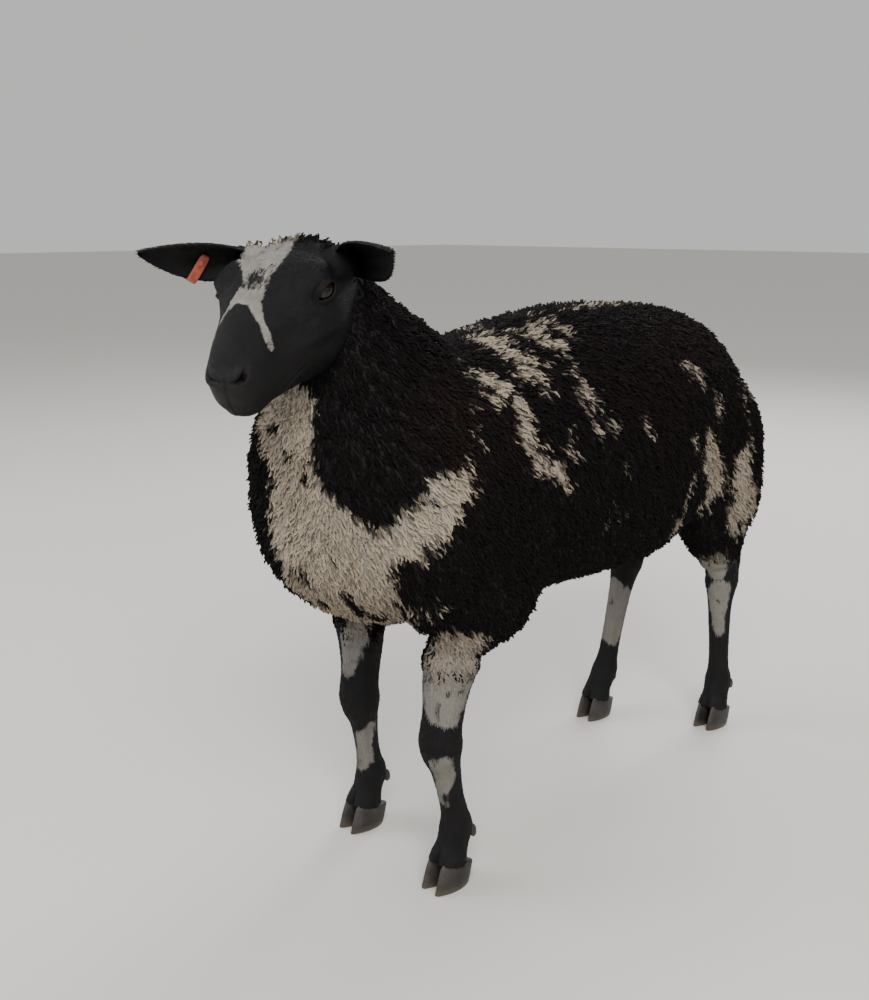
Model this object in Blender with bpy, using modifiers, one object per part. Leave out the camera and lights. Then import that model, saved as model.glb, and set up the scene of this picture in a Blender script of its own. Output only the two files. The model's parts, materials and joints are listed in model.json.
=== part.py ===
"""Dutch Spotted sheep standing square, life size. Metres, +Z up, the animal faces -Y."""
import math
import random

import bmesh
import bpy
import numpy as np
from mathutils import Matrix, Vector
from mathutils.bvhtree import BVHTree

# Sizes over the fleece, in metres
WITHERS_HEIGHT = 0.715
BACK_HEIGHT = 0.735
CORE_INSET = 0.0105
BLEND_VOXEL = 0.008
CORE_TRIANGLES = 1700
TAIL_TRIANGLES = 160
HEAD_TRIANGLES = 1350
STUB_GROWTH = 0.0035
LEG_STEPS = 20
LEG_SIDES = 12
PART_GAP = 0.0003
FRAME_SHIFT = Vector((0.0, 0.0695, 0.0))

# Head placing: the poll, and how far the face turns and dips
POLL = Vector((0.004, -0.472, 0.797))
HEAD_YAW = math.radians(24.0)
HEAD_PITCH = math.radians(31.0)
EAR_LENGTH = 0.114
EAR_HALF_WIDTH = 0.0285
EAR_THICKNESS = 0.0036
EAR_SWEEP = math.radians(43.0)
EAR_RISE = math.radians(7.0)
EAR_BOW = 0.003
EYE_RADIUS = 0.0135
EYE_PLACE = Vector((0.0565, -0.061, 0.020))
LID_THICKNESS = 0.0030

# Where the nodes part: a point on the plane and the direction it faces
HEAD_CUT = (Vector((0.003, -0.440, 0.755)), Vector((0.12, -0.80, 0.60)))
NECK_CUT = (Vector((0.0, -0.370, 0.640)), Vector((0.0, -0.51, 0.86)))
TAIL_CUT = (Vector((0.0, 0.449, 0.600)), Vector((0.0, 1.0, 0.10)))
LEG_CUT = {"foreleg": 0.300, "hindleg": 0.306}
THIGH_LINE = [(0.540, 0.570), (0.440, 0.545), (0.150, 0.465), (0.118, 0.400), (0.105, 0.260)]

# Clumps of curled wool: how far apart their centres stand, the foot and crown as shares of that
CLUMP_SIZES = {
    "body": 0.0920,
    "neck": 0.0760,
    "tail": 0.0500,
}
CLUMP_SIDES = 5
CLUMP_FOOT = 0.76
CLUMP_CROWN = 0.34
CLUMP_SINK = 0.0055
CLUMP_SEED = 4107

# Hooves
HOOF_HEIGHT = 0.031
HOOF_SLOPE = 0.26
CLAW_LENGTH = 0.060
CLAW_WIDTH = 0.0235
CLEFT = 0.0016

# Ear tag
TAG_SIZE = (0.0110, 0.0018, 0.036)
TAG_STUD = 0.0020
TAG_PLACE = 0.34
TAG_TILT = math.radians(24.0)
TAG_HOLD = 0.008
TAG_DEPTH = 0.0115

# Feet: where each hoof stands, x and y
FEET = {
    "foreleg_left": (0.096, -0.310),
    "foreleg_right": (-0.096, -0.290),
    "hindleg_left": (0.083, 0.362),
    "hindleg_right": (-0.083, 0.246),
}
# How far the hock or knee stands behind its own hoof
LEAN = {
    "foreleg_left": 0.0,
    "foreleg_right": 0.0,
    "hindleg_left": -0.024,
    "hindleg_right": 0.068,
}

# Trunk rows: y, top z, widest z, bottom z, half width
TRUNK_ROWS = [
    (-0.500, 0.610, 0.535, 0.470, 0.045),
    (-0.488, 0.655, 0.540, 0.425, 0.092),
    (-0.455, 0.690, 0.540, 0.388, 0.135),
    (-0.400, 0.704, 0.535, 0.360, 0.158),
    (-0.320, 0.710, 0.530, 0.346, 0.170),
    (-0.220, WITHERS_HEIGHT - 0.003, 0.530, 0.342, 0.178),
    (-0.100, BACK_HEIGHT - 0.004, 0.530, 0.340, 0.186),
    (0.000, BACK_HEIGHT + 0.009, 0.530, 0.335, 0.188),
    (0.100, BACK_HEIGHT + 0.007, 0.530, 0.328, 0.178),
    (0.180, 0.737, 0.540, 0.345, 0.160),
    (0.260, 0.721, 0.560, 0.385, 0.136),
    (0.340, 0.682, 0.570, 0.430, 0.102),
    (0.400, 0.640, 0.570, 0.470, 0.070),
    (0.438, 0.606, 0.560, 0.505, 0.038),
]

# Neck rows: x, y, z, turn in degrees, half width, throat reach, crest reach
NECK_ROWS = [
    (0.000, -0.325, 0.570, 0.0, 0.148, 0.164, 0.150),
    (0.000, -0.368, 0.635, 0.0, 0.134, 0.133, 0.130),
    (0.000, -0.402, 0.690, 4.0, 0.110, 0.102, 0.110),
    (0.003, -0.430, 0.740, 12.0, 0.081, 0.074, 0.079),
    (0.006, -0.450, 0.780, 20.0, 0.066, 0.060, 0.062),
    (0.008, -0.465, 0.808, 24.0, 0.046, 0.038, 0.040),
]

# Head rows, in the head's own frame: y, top z, widest z, bottom z, half width
HEAD_ROWS = [
    (0.045, 0.003, -0.020, -0.060, 0.030),
    (0.030, 0.018, -0.015, -0.082, 0.054),
    (0.000, 0.032, -0.008, -0.096, 0.064),
    (-0.030, 0.042, -0.004, -0.099, 0.067),
    (-0.060, 0.047, -0.002, -0.095, 0.068),
    (-0.086, 0.046, -0.008, -0.086, 0.060),
    (-0.112, 0.043, -0.014, -0.075, 0.048),
    (-0.138, 0.040, -0.018, -0.066, 0.0390),
    (-0.162, 0.0330, -0.019, -0.055, 0.0345),
    (-0.183, 0.020, -0.019, -0.050, 0.0295),
    (-0.196, 0.002, -0.019, -0.041, 0.0215),
    (-0.201, -0.010, -0.021, -0.032, 0.011),
]

# Leg rows: z, shift forward from the hoof, shift outward, half width, back reach, front reach
FORELEG_ROWS = [
    (0.430, 0.012, 0.020, 0.050, 0.070, 0.060),
    (0.370, 0.014, 0.012, 0.044, 0.052, 0.044),
    (0.320, 0.017, 0.004, 0.036, 0.040, 0.034),
    (0.280, 0.020, -0.002, 0.029, 0.033, 0.029),
    (0.245, 0.023, -0.004, 0.0255, 0.028, 0.026),
    (0.215, 0.026, -0.005, 0.0265, 0.026, 0.026),
    (0.190, 0.025, -0.005, 0.0260, 0.026, 0.024),
    (0.165, 0.019, -0.004, 0.0195, 0.021, 0.018),
    (0.130, 0.013, -0.002, 0.0160, 0.019, 0.015),
    (0.100, 0.008, 0.000, 0.0170, 0.021, 0.015),
    (0.078, 0.005, 0.000, 0.0210, 0.026, 0.018),
    (0.055, 0.009, 0.000, 0.0205, 0.021, 0.021),
    (0.036, 0.016, 0.000, 0.0240, 0.025, 0.026),
    (0.022, 0.020, 0.000, 0.0235, 0.028, 0.028),
]
HINDLEG_ROWS = [
    (0.430, 0.060, 0.000, 0.050, 0.090, 0.080),
    (0.380, 0.045, 0.002, 0.044, 0.072, 0.066),
    (0.335, 0.020, 0.003, 0.035, 0.050, 0.050),
    (0.305, 0.002, 0.003, 0.028, 0.040, 0.036),
    (0.280, -0.002, 0.003, 0.0245, 0.034, 0.029),
    (0.250, 0.000, 0.003, 0.0225, 0.026, 0.025),
    (0.215, 0.002, 0.002, 0.0180, 0.021, 0.019),
    (0.150, 0.003, 0.001, 0.0160, 0.019, 0.016),
    (0.105, 0.004, 0.000, 0.0170, 0.021, 0.015),
    (0.080, 0.004, 0.000, 0.0210, 0.026, 0.018),
    (0.056, 0.009, 0.000, 0.0205, 0.021, 0.021),
    (0.036, 0.016, 0.000, 0.0235, 0.024, 0.025),
    (0.022, 0.020, 0.000, 0.0230, 0.027, 0.027),
]

# Thigh rows: z, shift forward from the hoof, out from the midline, half width, back, front
THIGH_ROWS = [
    (0.645, 0.100, 0.058, 0.044, 0.066, 0.088),
    (0.590, 0.085, 0.070, 0.064, 0.118, 0.130),
    (0.530, 0.070, 0.076, 0.068, 0.146, 0.145),
    (0.460, 0.050, 0.078, 0.064, 0.140, 0.130),
    (0.400, 0.038, 0.084, 0.058, 0.120, 0.105),
    (0.360, 0.036, 0.088, 0.050, 0.086, 0.082),
    (0.335, 0.032, 0.089, 0.042, 0.062, 0.062),
    (0.315, 0.020, 0.088, 0.034, 0.044, 0.044),
]

# Shoulder lobes: centre, half sizes and tilt of the blade and of the elbow wool
SHOULDER_LOBES = [
    ((0.112, -0.325, 0.515), (0.066, 0.125, 0.165), -14.0),
    ((0.116, -0.285, 0.420), (0.062, 0.108, 0.104), 0.0),
]

# Tail rows: y, z, half width, back reach, front reach
TAIL_ROWS = [
    (0.385, 0.612, 0.030, 0.022, 0.022),
    (0.425, 0.610, 0.034, 0.024, 0.024),
    (0.456, 0.594, 0.035, 0.023, 0.023),
    (0.472, 0.552, 0.033, 0.021, 0.020),
    (0.476, 0.500, 0.032, 0.020, 0.019),
    (0.476, 0.430, 0.031, 0.019, 0.018),
    (0.474, 0.370, 0.028, 0.017, 0.016),
    (0.474, 0.325, 0.022, 0.013, 0.012),
    (0.472, 0.310, 0.010, 0.006, 0.006),
]

COLOURS = {
    "fleece_black": (0.035, 0.028, 0.024, 1.0),
    "face_black": (0.030, 0.027, 0.027, 1.0),
    "leg_black": (0.032, 0.028, 0.026, 1.0),
    "hoof_horn": (0.060, 0.050, 0.045, 1.0),
    "eye_dark": (0.020, 0.012, 0.006, 1.0),
    "tag_salmon": (0.720, 0.220, 0.150, 1.0),
}


def clear_scene():
    """Remove everything the new file starts with."""
    for item in list(bpy.data.objects):
        bpy.data.objects.remove(item, do_unlink=True)


def collection(name):
    """Return a new collection linked to the scene."""
    made = bpy.data.collections.new(name)
    bpy.context.scene.collection.children.link(made)
    return made


def material(name):
    """Return a Principled material with the named colour."""
    made = bpy.data.materials.get(name)
    if made is None:
        made = bpy.data.materials.new(name)
        made.use_nodes = True
        shader = made.node_tree.nodes["Principled BSDF"]
        shader.inputs["Base Color"].default_value = COLOURS[name]
        shader.inputs["Roughness"].default_value = 0.8
        made.diffuse_color = COLOURS[name]
    return made


def smooth_rows(rows, count):
    """Resample rows along a Catmull-Rom curve, evenly by row number."""
    points = np.array(rows, dtype=float)
    padded = np.vstack([2 * points[0] - points[1], points, 2 * points[-1] - points[-2]])
    made = []
    for t in np.linspace(0.0, len(points) - 1.0, count):
        i = min(int(t), len(points) - 2)
        f = t - i
        a, b, c, d = padded[i : i + 4]
        made.append(
            0.5 * (2 * b + (c - a) * f + (2 * a - 5 * b + 4 * c - d) * f * f
                   + (3 * b - a - 3 * c + d) * f ** 3)
        )
    return made


def ring(centre, side, up, half, high, low, power, count):
    """Return the points of one rounded section, egg shaped when high and low differ."""
    made = []
    for k in range(count):
        turn = 2.0 * math.pi * k / count
        c = math.cos(turn)
        s = math.sin(turn)
        x = half * math.copysign(abs(c) ** (2.0 / power), c)
        z = (high if s > 0 else low) * math.copysign(abs(s) ** (2.0 / power), s)
        made.append(centre + side * x + up * z)
    return made


def loft(rings):
    """Return a closed bmesh through the rings, each end closed by a fan."""
    bm = bmesh.new()
    loops = [[bm.verts.new(p) for p in points] for points in rings]
    count = len(rings[0])
    for a, b in zip(loops, loops[1:]):
        for k in range(count):
            j = (k + 1) % count
            bm.faces.new((a[k], a[j], b[j], b[k]))
    for loop in (loops[0], loops[-1]):
        middle = bm.verts.new(sum((v.co for v in loop), Vector()) / count)
        for k in range(count):
            bm.faces.new((loop[k], loop[(k + 1) % count], middle))
    bmesh.ops.recalc_face_normals(bm, faces=bm.faces)
    return bm


def object_from(bm, name, home):
    """Make an object from a bmesh and link it to a collection."""
    if bm.calc_volume(signed=True) < 0.0:
        bmesh.ops.reverse_faces(bm, faces=bm.faces)
    mesh = bpy.data.meshes.new(name)
    bm.to_mesh(mesh)
    bm.free()
    made = bpy.data.objects.new(name, mesh)
    home.objects.link(made)
    return made


def path_loft(points, turns, sizes, power, count):
    """Loft sections across a path; the turn swings each section's side about +Z."""
    rings = []
    last = len(points) - 1
    for i, point in enumerate(points):
        along = (points[min(i + 1, last)] - points[max(i - 1, 0)]).normalized()
        side = Vector((math.cos(turns[i]), math.sin(turns[i]), 0.0))
        up = side.cross(along).normalized()
        side = along.cross(up).normalized()
        half, high, low = sizes[i]
        rings.append(ring(point, side, up, half, high, low, power, count))
    return loft(rings)


def standing_loft(rows, inset, power, count, steps):
    """Loft upright sections from rows of y, top, widest, bottom and half width."""
    rings = []
    table = smooth_rows(rows, steps)
    table[0][0] += inset
    table[-1][0] -= inset
    for y, top, wide, bottom, half in table:
        high = max(top - wide - inset, 0.006)
        low = max(wide - bottom - inset, 0.006)
        centre = Vector((0.0, y, wide))
        reach = max(half - inset, 0.006)
        rings.append(ring(centre, Vector((1, 0, 0)), Vector((0, 0, 1)), reach, high, low, power, count))
    return loft(rings)


def trunk(inset, home):
    """Make the barrel of the body."""
    return object_from(standing_loft(TRUNK_ROWS, inset, 2.25, 40, 44), "trunk_form", home)


def neck(inset, home):
    """Make the neck, turning toward the animal's left as it rises."""
    table = smooth_rows(NECK_ROWS, 22)
    points = [Vector(row[0:3]) for row in table]
    turns = [math.radians(row[3]) for row in table]
    sizes = [[max(v - inset, 0.006) for v in row[4:7]] for row in table]
    return object_from(path_loft(points, turns, sizes, 2.1, 32), "neck_form", home)


def head_matrix():
    """Return the placing of the head's own frame."""
    turn = Matrix.Rotation(HEAD_YAW, 4, "Z") @ Matrix.Rotation(HEAD_PITCH, 4, "X")
    return Matrix.Translation(POLL) @ turn


def head(home):
    """Make the skull form in its own frame and place it."""
    bm = standing_loft(HEAD_ROWS, 0.0, 2.3, 36, 40)
    bm.transform(head_matrix())
    return object_from(bm, "head_form", home)


def leg(name, rows, inset, home):
    """Make one leg down to the crown of the hoof."""
    foot_x, foot_y = FEET[name]
    out = 1.0 if foot_x > 0 else -1.0
    table = smooth_rows(rows, LEG_STEPS)
    points = []
    for row in table:
        lean = LEAN[name] * min(max((row[0] - 0.05) / 0.235, 0.0), 1.0)
        points.append(Vector((foot_x + out * row[2], foot_y + lean - row[1], row[0])))
    sizes = []
    for row in table:
        # the fleece thins out where the wool ends
        share = min(max((row[0] - 0.31) / 0.04, 0.0), 1.0)
        cover = inset * share - (STUB_GROWTH if inset > 0.0 else 0.0) * (1.0 - share)
        sizes.append([row[3] - cover, row[4] - cover, row[5] - cover])
    made = path_loft(points, [0.0] * len(points), sizes, 2.0, LEG_SIDES)
    return object_from(made, name + "_form", home)


def thigh(side, inset, home):
    """Make the haunch above one hind leg."""
    foot_y = FEET["hindleg_" + side][1] + LEAN["hindleg_" + side]
    out = 1.0 if side == "left" else -1.0
    rings = []
    for z, ahead, width, half, back, front in smooth_rows(THIGH_ROWS, 26):
        # high up, both haunches share the same hip; low down each follows its own hoof
        share = min(max((z - 0.30) / 0.30, 0.0), 1.0)
        y = foot_y * (1.0 - share) + 0.350 * share - ahead
        cover = inset * min(max((z - 0.31) / 0.04, 0.0), 1.0)
        centre = Vector((out * width, y, z))
        sizes = [max(v - cover, 0.006) for v in (half, back, front)]
        rings.append(ring(centre, Vector((1, 0, 0)), Vector((0, 1, 0)), *sizes, 2.1, 32))
    return object_from(loft(rings), "thigh_%s_form" % side, home)


def shoulder(side, inset, home):
    """Make the shoulder mass over one foreleg."""
    out = 1.0 if side == "left" else -1.0
    bm = bmesh.new()
    for centre, size, tilt in SHOULDER_LOBES:
        lobe = bmesh.ops.create_icosphere(bm, subdivisions=4, radius=1.0)["verts"]
        place = Matrix.Translation((out * centre[0], centre[1], centre[2]))
        place = place @ Matrix.Rotation(math.radians(tilt), 4, "X")
        place = place @ Matrix.Diagonal([v - inset for v in size] + [1.0])
        bmesh.ops.transform(bm, matrix=place, verts=lobe)
    return object_from(bm, "shoulder_%s_form" % side, home)


def tail(inset, home, rows):
    """Make the hanging tail, or only its root from the first rows."""
    table = smooth_rows(rows, 8 * len(rows))
    points = [Vector((0.0, row[0], row[1])) for row in table]
    sizes = [[max(v - inset, 0.004) for v in row[2:5]] for row in table]
    made = path_loft(points, [0.0] * len(points), sizes, 2.2, 20)
    return object_from(made, "tail_form", home)


def joined(objects, name):
    """Join mesh objects into one and return it."""
    bm = bmesh.new()
    for item in objects:
        bm.from_mesh(item.data)
    home = objects[0].users_collection[0]
    for item in objects:
        bpy.data.objects.remove(item, do_unlink=True)
    return object_from(bm, name, home)


def bake(item):
    """Apply all modifiers of an object."""
    graph = bpy.context.evaluated_depsgraph_get()
    mesh = bpy.data.meshes.new_from_object(item.evaluated_get(graph))
    item.modifiers.clear()
    item.data = mesh
    return item


def blend(item, voxel):
    """Fuse overlapping shells into one skin."""
    step = item.modifiers.new("fuse", "REMESH")
    step.mode = "VOXEL"
    step.voxel_size = voxel
    return bake(item)


def relax(item, passes, weight_of):
    """Smooth the skin where the weight function says so."""
    mesh = item.data
    count = len(mesh.vertices)
    co = np.empty(count * 3)
    mesh.vertices.foreach_get("co", co)
    co = co.reshape(-1, 3)
    edges = np.empty(len(mesh.edges) * 2, dtype=np.int64)
    mesh.edges.foreach_get("vertices", edges)
    edges = edges.reshape(-1, 2)
    degree = np.bincount(edges.ravel(), minlength=count).astype(float)[:, None]
    weight = weight_of(co)[:, None]
    for _ in range(passes):
        total = np.zeros_like(co)
        for axis in range(3):
            total[:, axis] = np.bincount(edges[:, 0], co[edges[:, 1], axis], count)
            total[:, axis] += np.bincount(edges[:, 1], co[edges[:, 0], axis], count)
        co += weight * 0.6 * (total / degree - co)
    mesh.vertices.foreach_set("co", co.ravel())
    mesh.update()
    return item


def thin_out(item, triangles):
    """Reduce a mesh to about the asked number of triangles."""
    item.data.calc_loop_triangles()
    step = item.modifiers.new("thin", "DECIMATE")
    step.ratio = min(1.0, triangles / len(item.data.loop_triangles))
    step.use_collapse_triangulate = True
    return bake(item)


def near(co, point, radius):
    """Return 1 near a point, falling to 0 at the radius."""
    distance = np.linalg.norm(co - np.array(point), axis=1)
    return np.clip(1.5 - 1.5 * distance / radius, 0.0, 1.0)


def blend_weight(co):
    """Say where the shells of the body meet and want a softer join."""
    weight = np.full(len(co), 0.06)
    for x in (-1.0, 1.0):
        weight = np.maximum(weight, near(co, (x * 0.12, 0.16, 0.50), 0.17))
        weight = np.maximum(weight, near(co, (x * 0.13, -0.20, 0.45), 0.15))
        weight = np.maximum(weight, near(co, (x * 0.10, -0.40, 0.62), 0.15))
        weight = np.maximum(weight, near(co, (x * 0.10, -0.31, 0.35), 0.09))
        weight = np.maximum(weight, near(co, (x * 0.08, 0.40, 0.62), 0.10))
    weight = np.maximum(weight, near(co, (0.0, -0.27, 0.74), 0.12))
    weight = np.maximum(weight, near(co, (0.0, -0.49, 0.62), 0.10))
    return weight


def body(inset, voxel, home):
    """Make the whole woolly body with its legs as one closed skin."""
    shells = [trunk(inset, home), neck(inset, home), tail(inset, home, TAIL_ROWS[:3])]
    for side in ("left", "right"):
        shells.append(shoulder(side, inset, home))
        shells.append(thigh(side, inset, home))
        shells.append(leg("foreleg_" + side, FORELEG_ROWS, inset, home))
        shells.append(leg("hindleg_" + side, HINDLEG_ROWS, inset, home))
    whole = blend(joined(shells, "body"), voxel)
    return relax(whole, 24, blend_weight)


def cutter_home():
    """Return the collection that keeps the cutting shapes."""
    made = bpy.data.collections.get("cutters")
    return made or collection("cutters")


def as_cutter(bm, name):
    """Make a hidden cutting shape."""
    made = object_from(bm, name, cutter_home())
    made.hide_render = True
    made.display_type = "WIRE"
    return made


def combine(item, other, operation, solver="EXACT"):
    """Apply one Boolean operation."""
    step = item.modifiers.new("combine", "BOOLEAN")
    step.operation = operation
    step.solver = solver
    step.object = other
    return bake(item)


def facing(normal):
    """Return a turn that brings +Z to the normal."""
    return normal.to_track_quat("Z", "Y").to_matrix().to_4x4()


def half_space(point, normal, name, reach=0.5):
    """Return a block that starts at the plane and lies on the side the normal faces."""
    bm = bmesh.new()
    bmesh.ops.create_cube(bm, size=1.0)
    bm.transform(Matrix.Translation((0.0, 0.0, 0.5)))
    bm.transform(Matrix.Diagonal((2 * reach, 2 * reach, reach, 1.0)))
    bm.transform(Matrix.Translation(point) @ facing(normal.normalized()))
    return as_cutter(bm, name)


def prism(outline, low_x, high_x, name):
    """Return a solid with an outline in y and z, standing between two x values."""
    bm = bmesh.new()
    near_side = [bm.verts.new((low_x, y, z)) for y, z in outline]
    far_side = [bm.verts.new((high_x, y, z)) for y, z in outline]
    bm.faces.new(near_side)
    bm.faces.new(list(reversed(far_side)))
    count = len(outline)
    for k in range(count):
        j = (k + 1) % count
        bm.faces.new((near_side[k], near_side[j], far_side[j], far_side[k]))
    bmesh.ops.recalc_face_normals(bm, faces=bm.faces)
    return as_cutter(bm, name)


def haunch_region(low_x, high_x, grow, name):
    """Return the room that one or both haunches fill, behind and under the thigh line."""
    outline = [(y - grow * 0.5, z + grow) for y, z in THIGH_LINE]
    outline += [(THIGH_LINE[-1][0] - grow * 0.5, THIGH_LINE[-1][1] - 0.02)]
    outline += [(THIGH_LINE[0][0], THIGH_LINE[-1][1] - 0.02)]
    return prism(outline, low_x, high_x, name)


def largest_only(item):
    """Keep only the largest closed surface of a mesh."""
    bm = bmesh.new()
    bm.from_mesh(item.data)
    bmesh.ops.remove_doubles(bm, verts=bm.verts, dist=0.000002)
    groups = islands(bm)
    groups.sort(key=len)
    for group in groups[:-1]:
        bmesh.ops.delete(bm, geom=group, context="FACES")
    bm.to_mesh(item.data)
    bm.free()
    return item


def islands(bm):
    """Return the groups of faces that are joined across edges of two faces."""
    seen = set()
    groups = []
    for start in bm.faces:
        if start in seen:
            continue
        seen.add(start)
        stack = [start]
        group = []
        while stack:
            face = stack.pop()
            group.append(face)
            for edge in face.edges:
                if len(edge.link_faces) != 2:
                    continue
                for other in edge.link_faces:
                    if other not in seen:
                        seen.add(other)
                        stack.append(other)
        groups.append(group)
    return groups


def copied(item, name):
    """Return a copy of an object with its own mesh."""
    made = bpy.data.objects.new(name, item.data.copy())
    item.users_collection[0].objects.link(made)
    return made


def place_origin(item, point):
    """Put the object's origin at a point of the design frame."""
    item.data.transform(Matrix.Translation(-Vector(point)))
    item.location = Vector(point)
    return item


def finish(item, name, slot, origin):
    """Name a node, give it its material and its origin."""
    item.name = name
    item.data.name = name
    item.data.materials.clear()
    item.data.materials.append(material(slot))
    for face in item.data.polygons:
        face.use_smooth = False
    return place_origin(item, origin)


def wool_zone(point):
    """Name the clump size that suits a place, or None where the coat is bare."""
    x, y, z = point
    if (Vector(point) - HEAD_CUT[0]).dot(HEAD_CUT[1]) > 0.012:
        return None
    for name, (foot_x, foot_y) in FEET.items():
        rear = foot_y + LEAN[name]
        low, room = (0.335, 0.055) if name.startswith("foreleg") else (0.360, 0.090)
        if z < low and math.hypot(x - foot_x, y + 0.02 - rear) < room:
            return None
    if y > 0.455:
        return "tail"
    if y > 0.38 and z > 0.575 and abs(x) < 0.05:
        return None if y > 0.445 else "tail"
    return "neck" if y < -0.36 and z > 0.66 else "body"


def spread(points, spacing):
    """Pick points so that every one left lies within the spacing of a picked one."""
    picked = [int(np.argmax(points[:, 2]))]
    gap = np.linalg.norm(points - points[picked[0]], axis=1)
    while gap.max() > spacing:
        chosen = int(np.argmax(gap))
        picked.append(chosen)
        gap = np.minimum(gap, np.linalg.norm(points - points[chosen], axis=1))
    centres = points[picked]
    for _ in range(4):
        apart = np.linalg.norm(points[:, None, :] - centres[None, :, :], axis=2)
        owner = apart.argmin(axis=1)
        for k in range(len(centres)):
            mine = points[owner == k]
            if len(mine):
                centres[k] = mine.mean(axis=0)
    return centres


def clump(place, normal, spacing, tree, chance):
    """Make one rounded dome that follows the body under it and leans with the lie."""
    bm = bmesh.new()
    lie = Vector((0.0, 0.5, -1.0))
    lie = (lie - normal * lie.dot(normal)).normalized()
    side = normal.cross(lie)
    turn = chance.uniform(0.0, 2 * math.pi / CLUMP_SIDES)
    tip = CORE_INSET * chance.uniform(0.88, 1.0)
    loops = []
    for share, height in ((CLUMP_FOOT, -CLUMP_SINK), (CLUMP_CROWN, tip * 0.80)):
        points = []
        for k in range(CLUMP_SIDES):
            angle = turn + 2 * math.pi * k / CLUMP_SIDES
            wide = spacing * share * chance.uniform(0.94, 1.06)
            lean = 0.06 * spacing if height > 0 else 0.0
            flat = place + lie * (wide * math.cos(angle) + lean) + side * wide * math.sin(angle)
            spot, way, _, _ = tree.find_nearest(flat)
            if (spot - flat).length > 0.6 * wide:
                spot, way = flat, normal
            points.append(bm.verts.new(spot + way * height))
        loops.append(points)
    top = bm.verts.new(place + normal * tip + lie * 0.06 * spacing)
    for k in range(CLUMP_SIDES):
        j = (k + 1) % CLUMP_SIDES
        bm.faces.new((loops[0][k], loops[0][j], loops[1][j], loops[1][k]))
        bm.faces.new((loops[1][k], loops[1][j], top))
    root = bm.verts.new(place - normal * CLUMP_SINK * 1.6)
    for k in range(CLUMP_SIDES):
        bm.faces.new((loops[0][(k + 1) % CLUMP_SIDES], loops[0][k], root))
    return bm


def add_clumps(core, dense):
    """Set clumps all over the coat and fuse them with the core."""
    chance = random.Random(CLUMP_SEED)
    home = collection("clumps")
    bm = bmesh.new()
    bm.from_mesh(dense)
    tree = BVHTree.FromBMesh(bm)
    zones = {name: [] for name in CLUMP_SIZES}
    for vert in bm.verts:
        zone = wool_zone(vert.co)
        if zone:
            zones[zone].append(vert.co[:])
    bm.free()
    for zone, spacing in CLUMP_SIZES.items():
        if not zones[zone]:
            continue
        for centre in spread(np.array(zones[zone]), spacing * 0.80):
            place, normal, _, _ = tree.find_nearest(Vector(centre))
            object_from(clump(place, normal, spacing, tree, chance), "clump", home)
    step = core.modifiers.new("fuse_clumps", "BOOLEAN")
    step.operation = "UNION"
    step.operand_type = "COLLECTION"
    step.collection = home
    step.solver = "EXACT"
    bake(core)
    for item in list(home.objects):
        bpy.data.objects.remove(item, do_unlink=True)
    bpy.data.collections.remove(home)
    return largest_only(core)


def woolly_nodes(home):
    """Make torso, neck, tail and haunches by cutting the one woolly body."""
    whole = body(CORE_INSET, BLEND_VOXEL, home)
    dense = whole.data.copy()
    whole = add_clumps(thin_out(whole, CORE_TRIANGLES), dense)
    for kind, sides in (("foreleg", "left right"), ("hindleg", "left right")):
        for side in sides.split():
            x, y = FEET[kind + "_" + side]
            y += LEAN[kind + "_" + side]
            under = bmesh.new()
            bmesh.ops.create_cube(under, size=0.30)
            under.transform(Matrix.Diagonal((0.5, 0.9, 1.0, 1.0)))
            under.transform(Matrix.Translation((x, y, LEG_CUT[kind] - 0.15)))
            combine(whole, as_cutter(under, "below_" + kind + "_" + side), "DIFFERENCE")
    combine(whole, half_space(*HEAD_CUT, "before_neck", 0.3), "DIFFERENCE")
    combine(whole, half_space(*TAIL_CUT, "behind_rump", 0.07), "DIFFERENCE")
    whole = largest_only(whole)
    made = {"torso": whole}
    for side, out in (("left", 1.0), ("right", -1.0)):
        haunch = copied(whole, "thigh_" + side)
        span = sorted((out * PART_GAP / 2, out * 0.30))
        room = haunch_region(span[0], span[1], 0.0, "haunch_room_" + side)
        made[haunch.name] = largest_only(combine(haunch, room, "INTERSECT"))
    combine(whole, haunch_region(-0.30, 0.30, PART_GAP, "haunch_room"), "DIFFERENCE")
    point, normal = NECK_CUT
    above = half_space(point + normal * PART_GAP, normal, "neck_room", 0.3)
    made["neck"] = largest_only(combine(copied(whole, "neck"), above, "INTERSECT"))
    combine(whole, half_space(point, normal, "above_torso", 0.3), "DIFFERENCE")
    largest_only(whole)
    return made


def tail_node(home):
    """Make the tail, parted from the rump across its root."""
    made = blend(tail(CORE_INSET * 0.8, home, TAIL_ROWS), 0.005)
    dense = made.data.copy()
    made = add_clumps(thin_out(made, TAIL_TRIANGLES), dense)
    point, normal = TAIL_CUT
    before = half_space(point + normal * PART_GAP, -normal, "before_tail", 0.2)
    return largest_only(combine(made, before, "DIFFERENCE"))


def leg_node(name, home):
    """Make one bare leg between the wool and the coronet."""
    kind = name.split("_")[0]
    rows = FORELEG_ROWS if kind == "foreleg" else HINDLEG_ROWS
    foot_x, foot_y = FEET[name]
    made = leg(name, rows, 0.0, home)
    for side in (-1.0, 1.0):
        bm = bmesh.new()
        bmesh.ops.create_icosphere(bm, subdivisions=2, radius=1.0)
        bm.transform(Matrix.Diagonal((0.0050, 0.0060, 0.0095, 1.0)))
        bm.transform(Matrix.Translation((foot_x + side * 0.011, foot_y + 0.018, 0.067)))
        combine(made, as_cutter(bm, "dewclaw_form"), "UNION")
    top = LEG_CUT[kind] - PART_GAP
    combine(made, half_space(Vector((foot_x, foot_y, top)), Vector((0, 0, 1)), "above_" + name), "DIFFERENCE")
    point, normal = coronet(name)
    low = half_space(point + normal * PART_GAP, -normal, "under_" + name, 0.2)
    combine(made, low, "DIFFERENCE")
    return largest_only(made)


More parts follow.
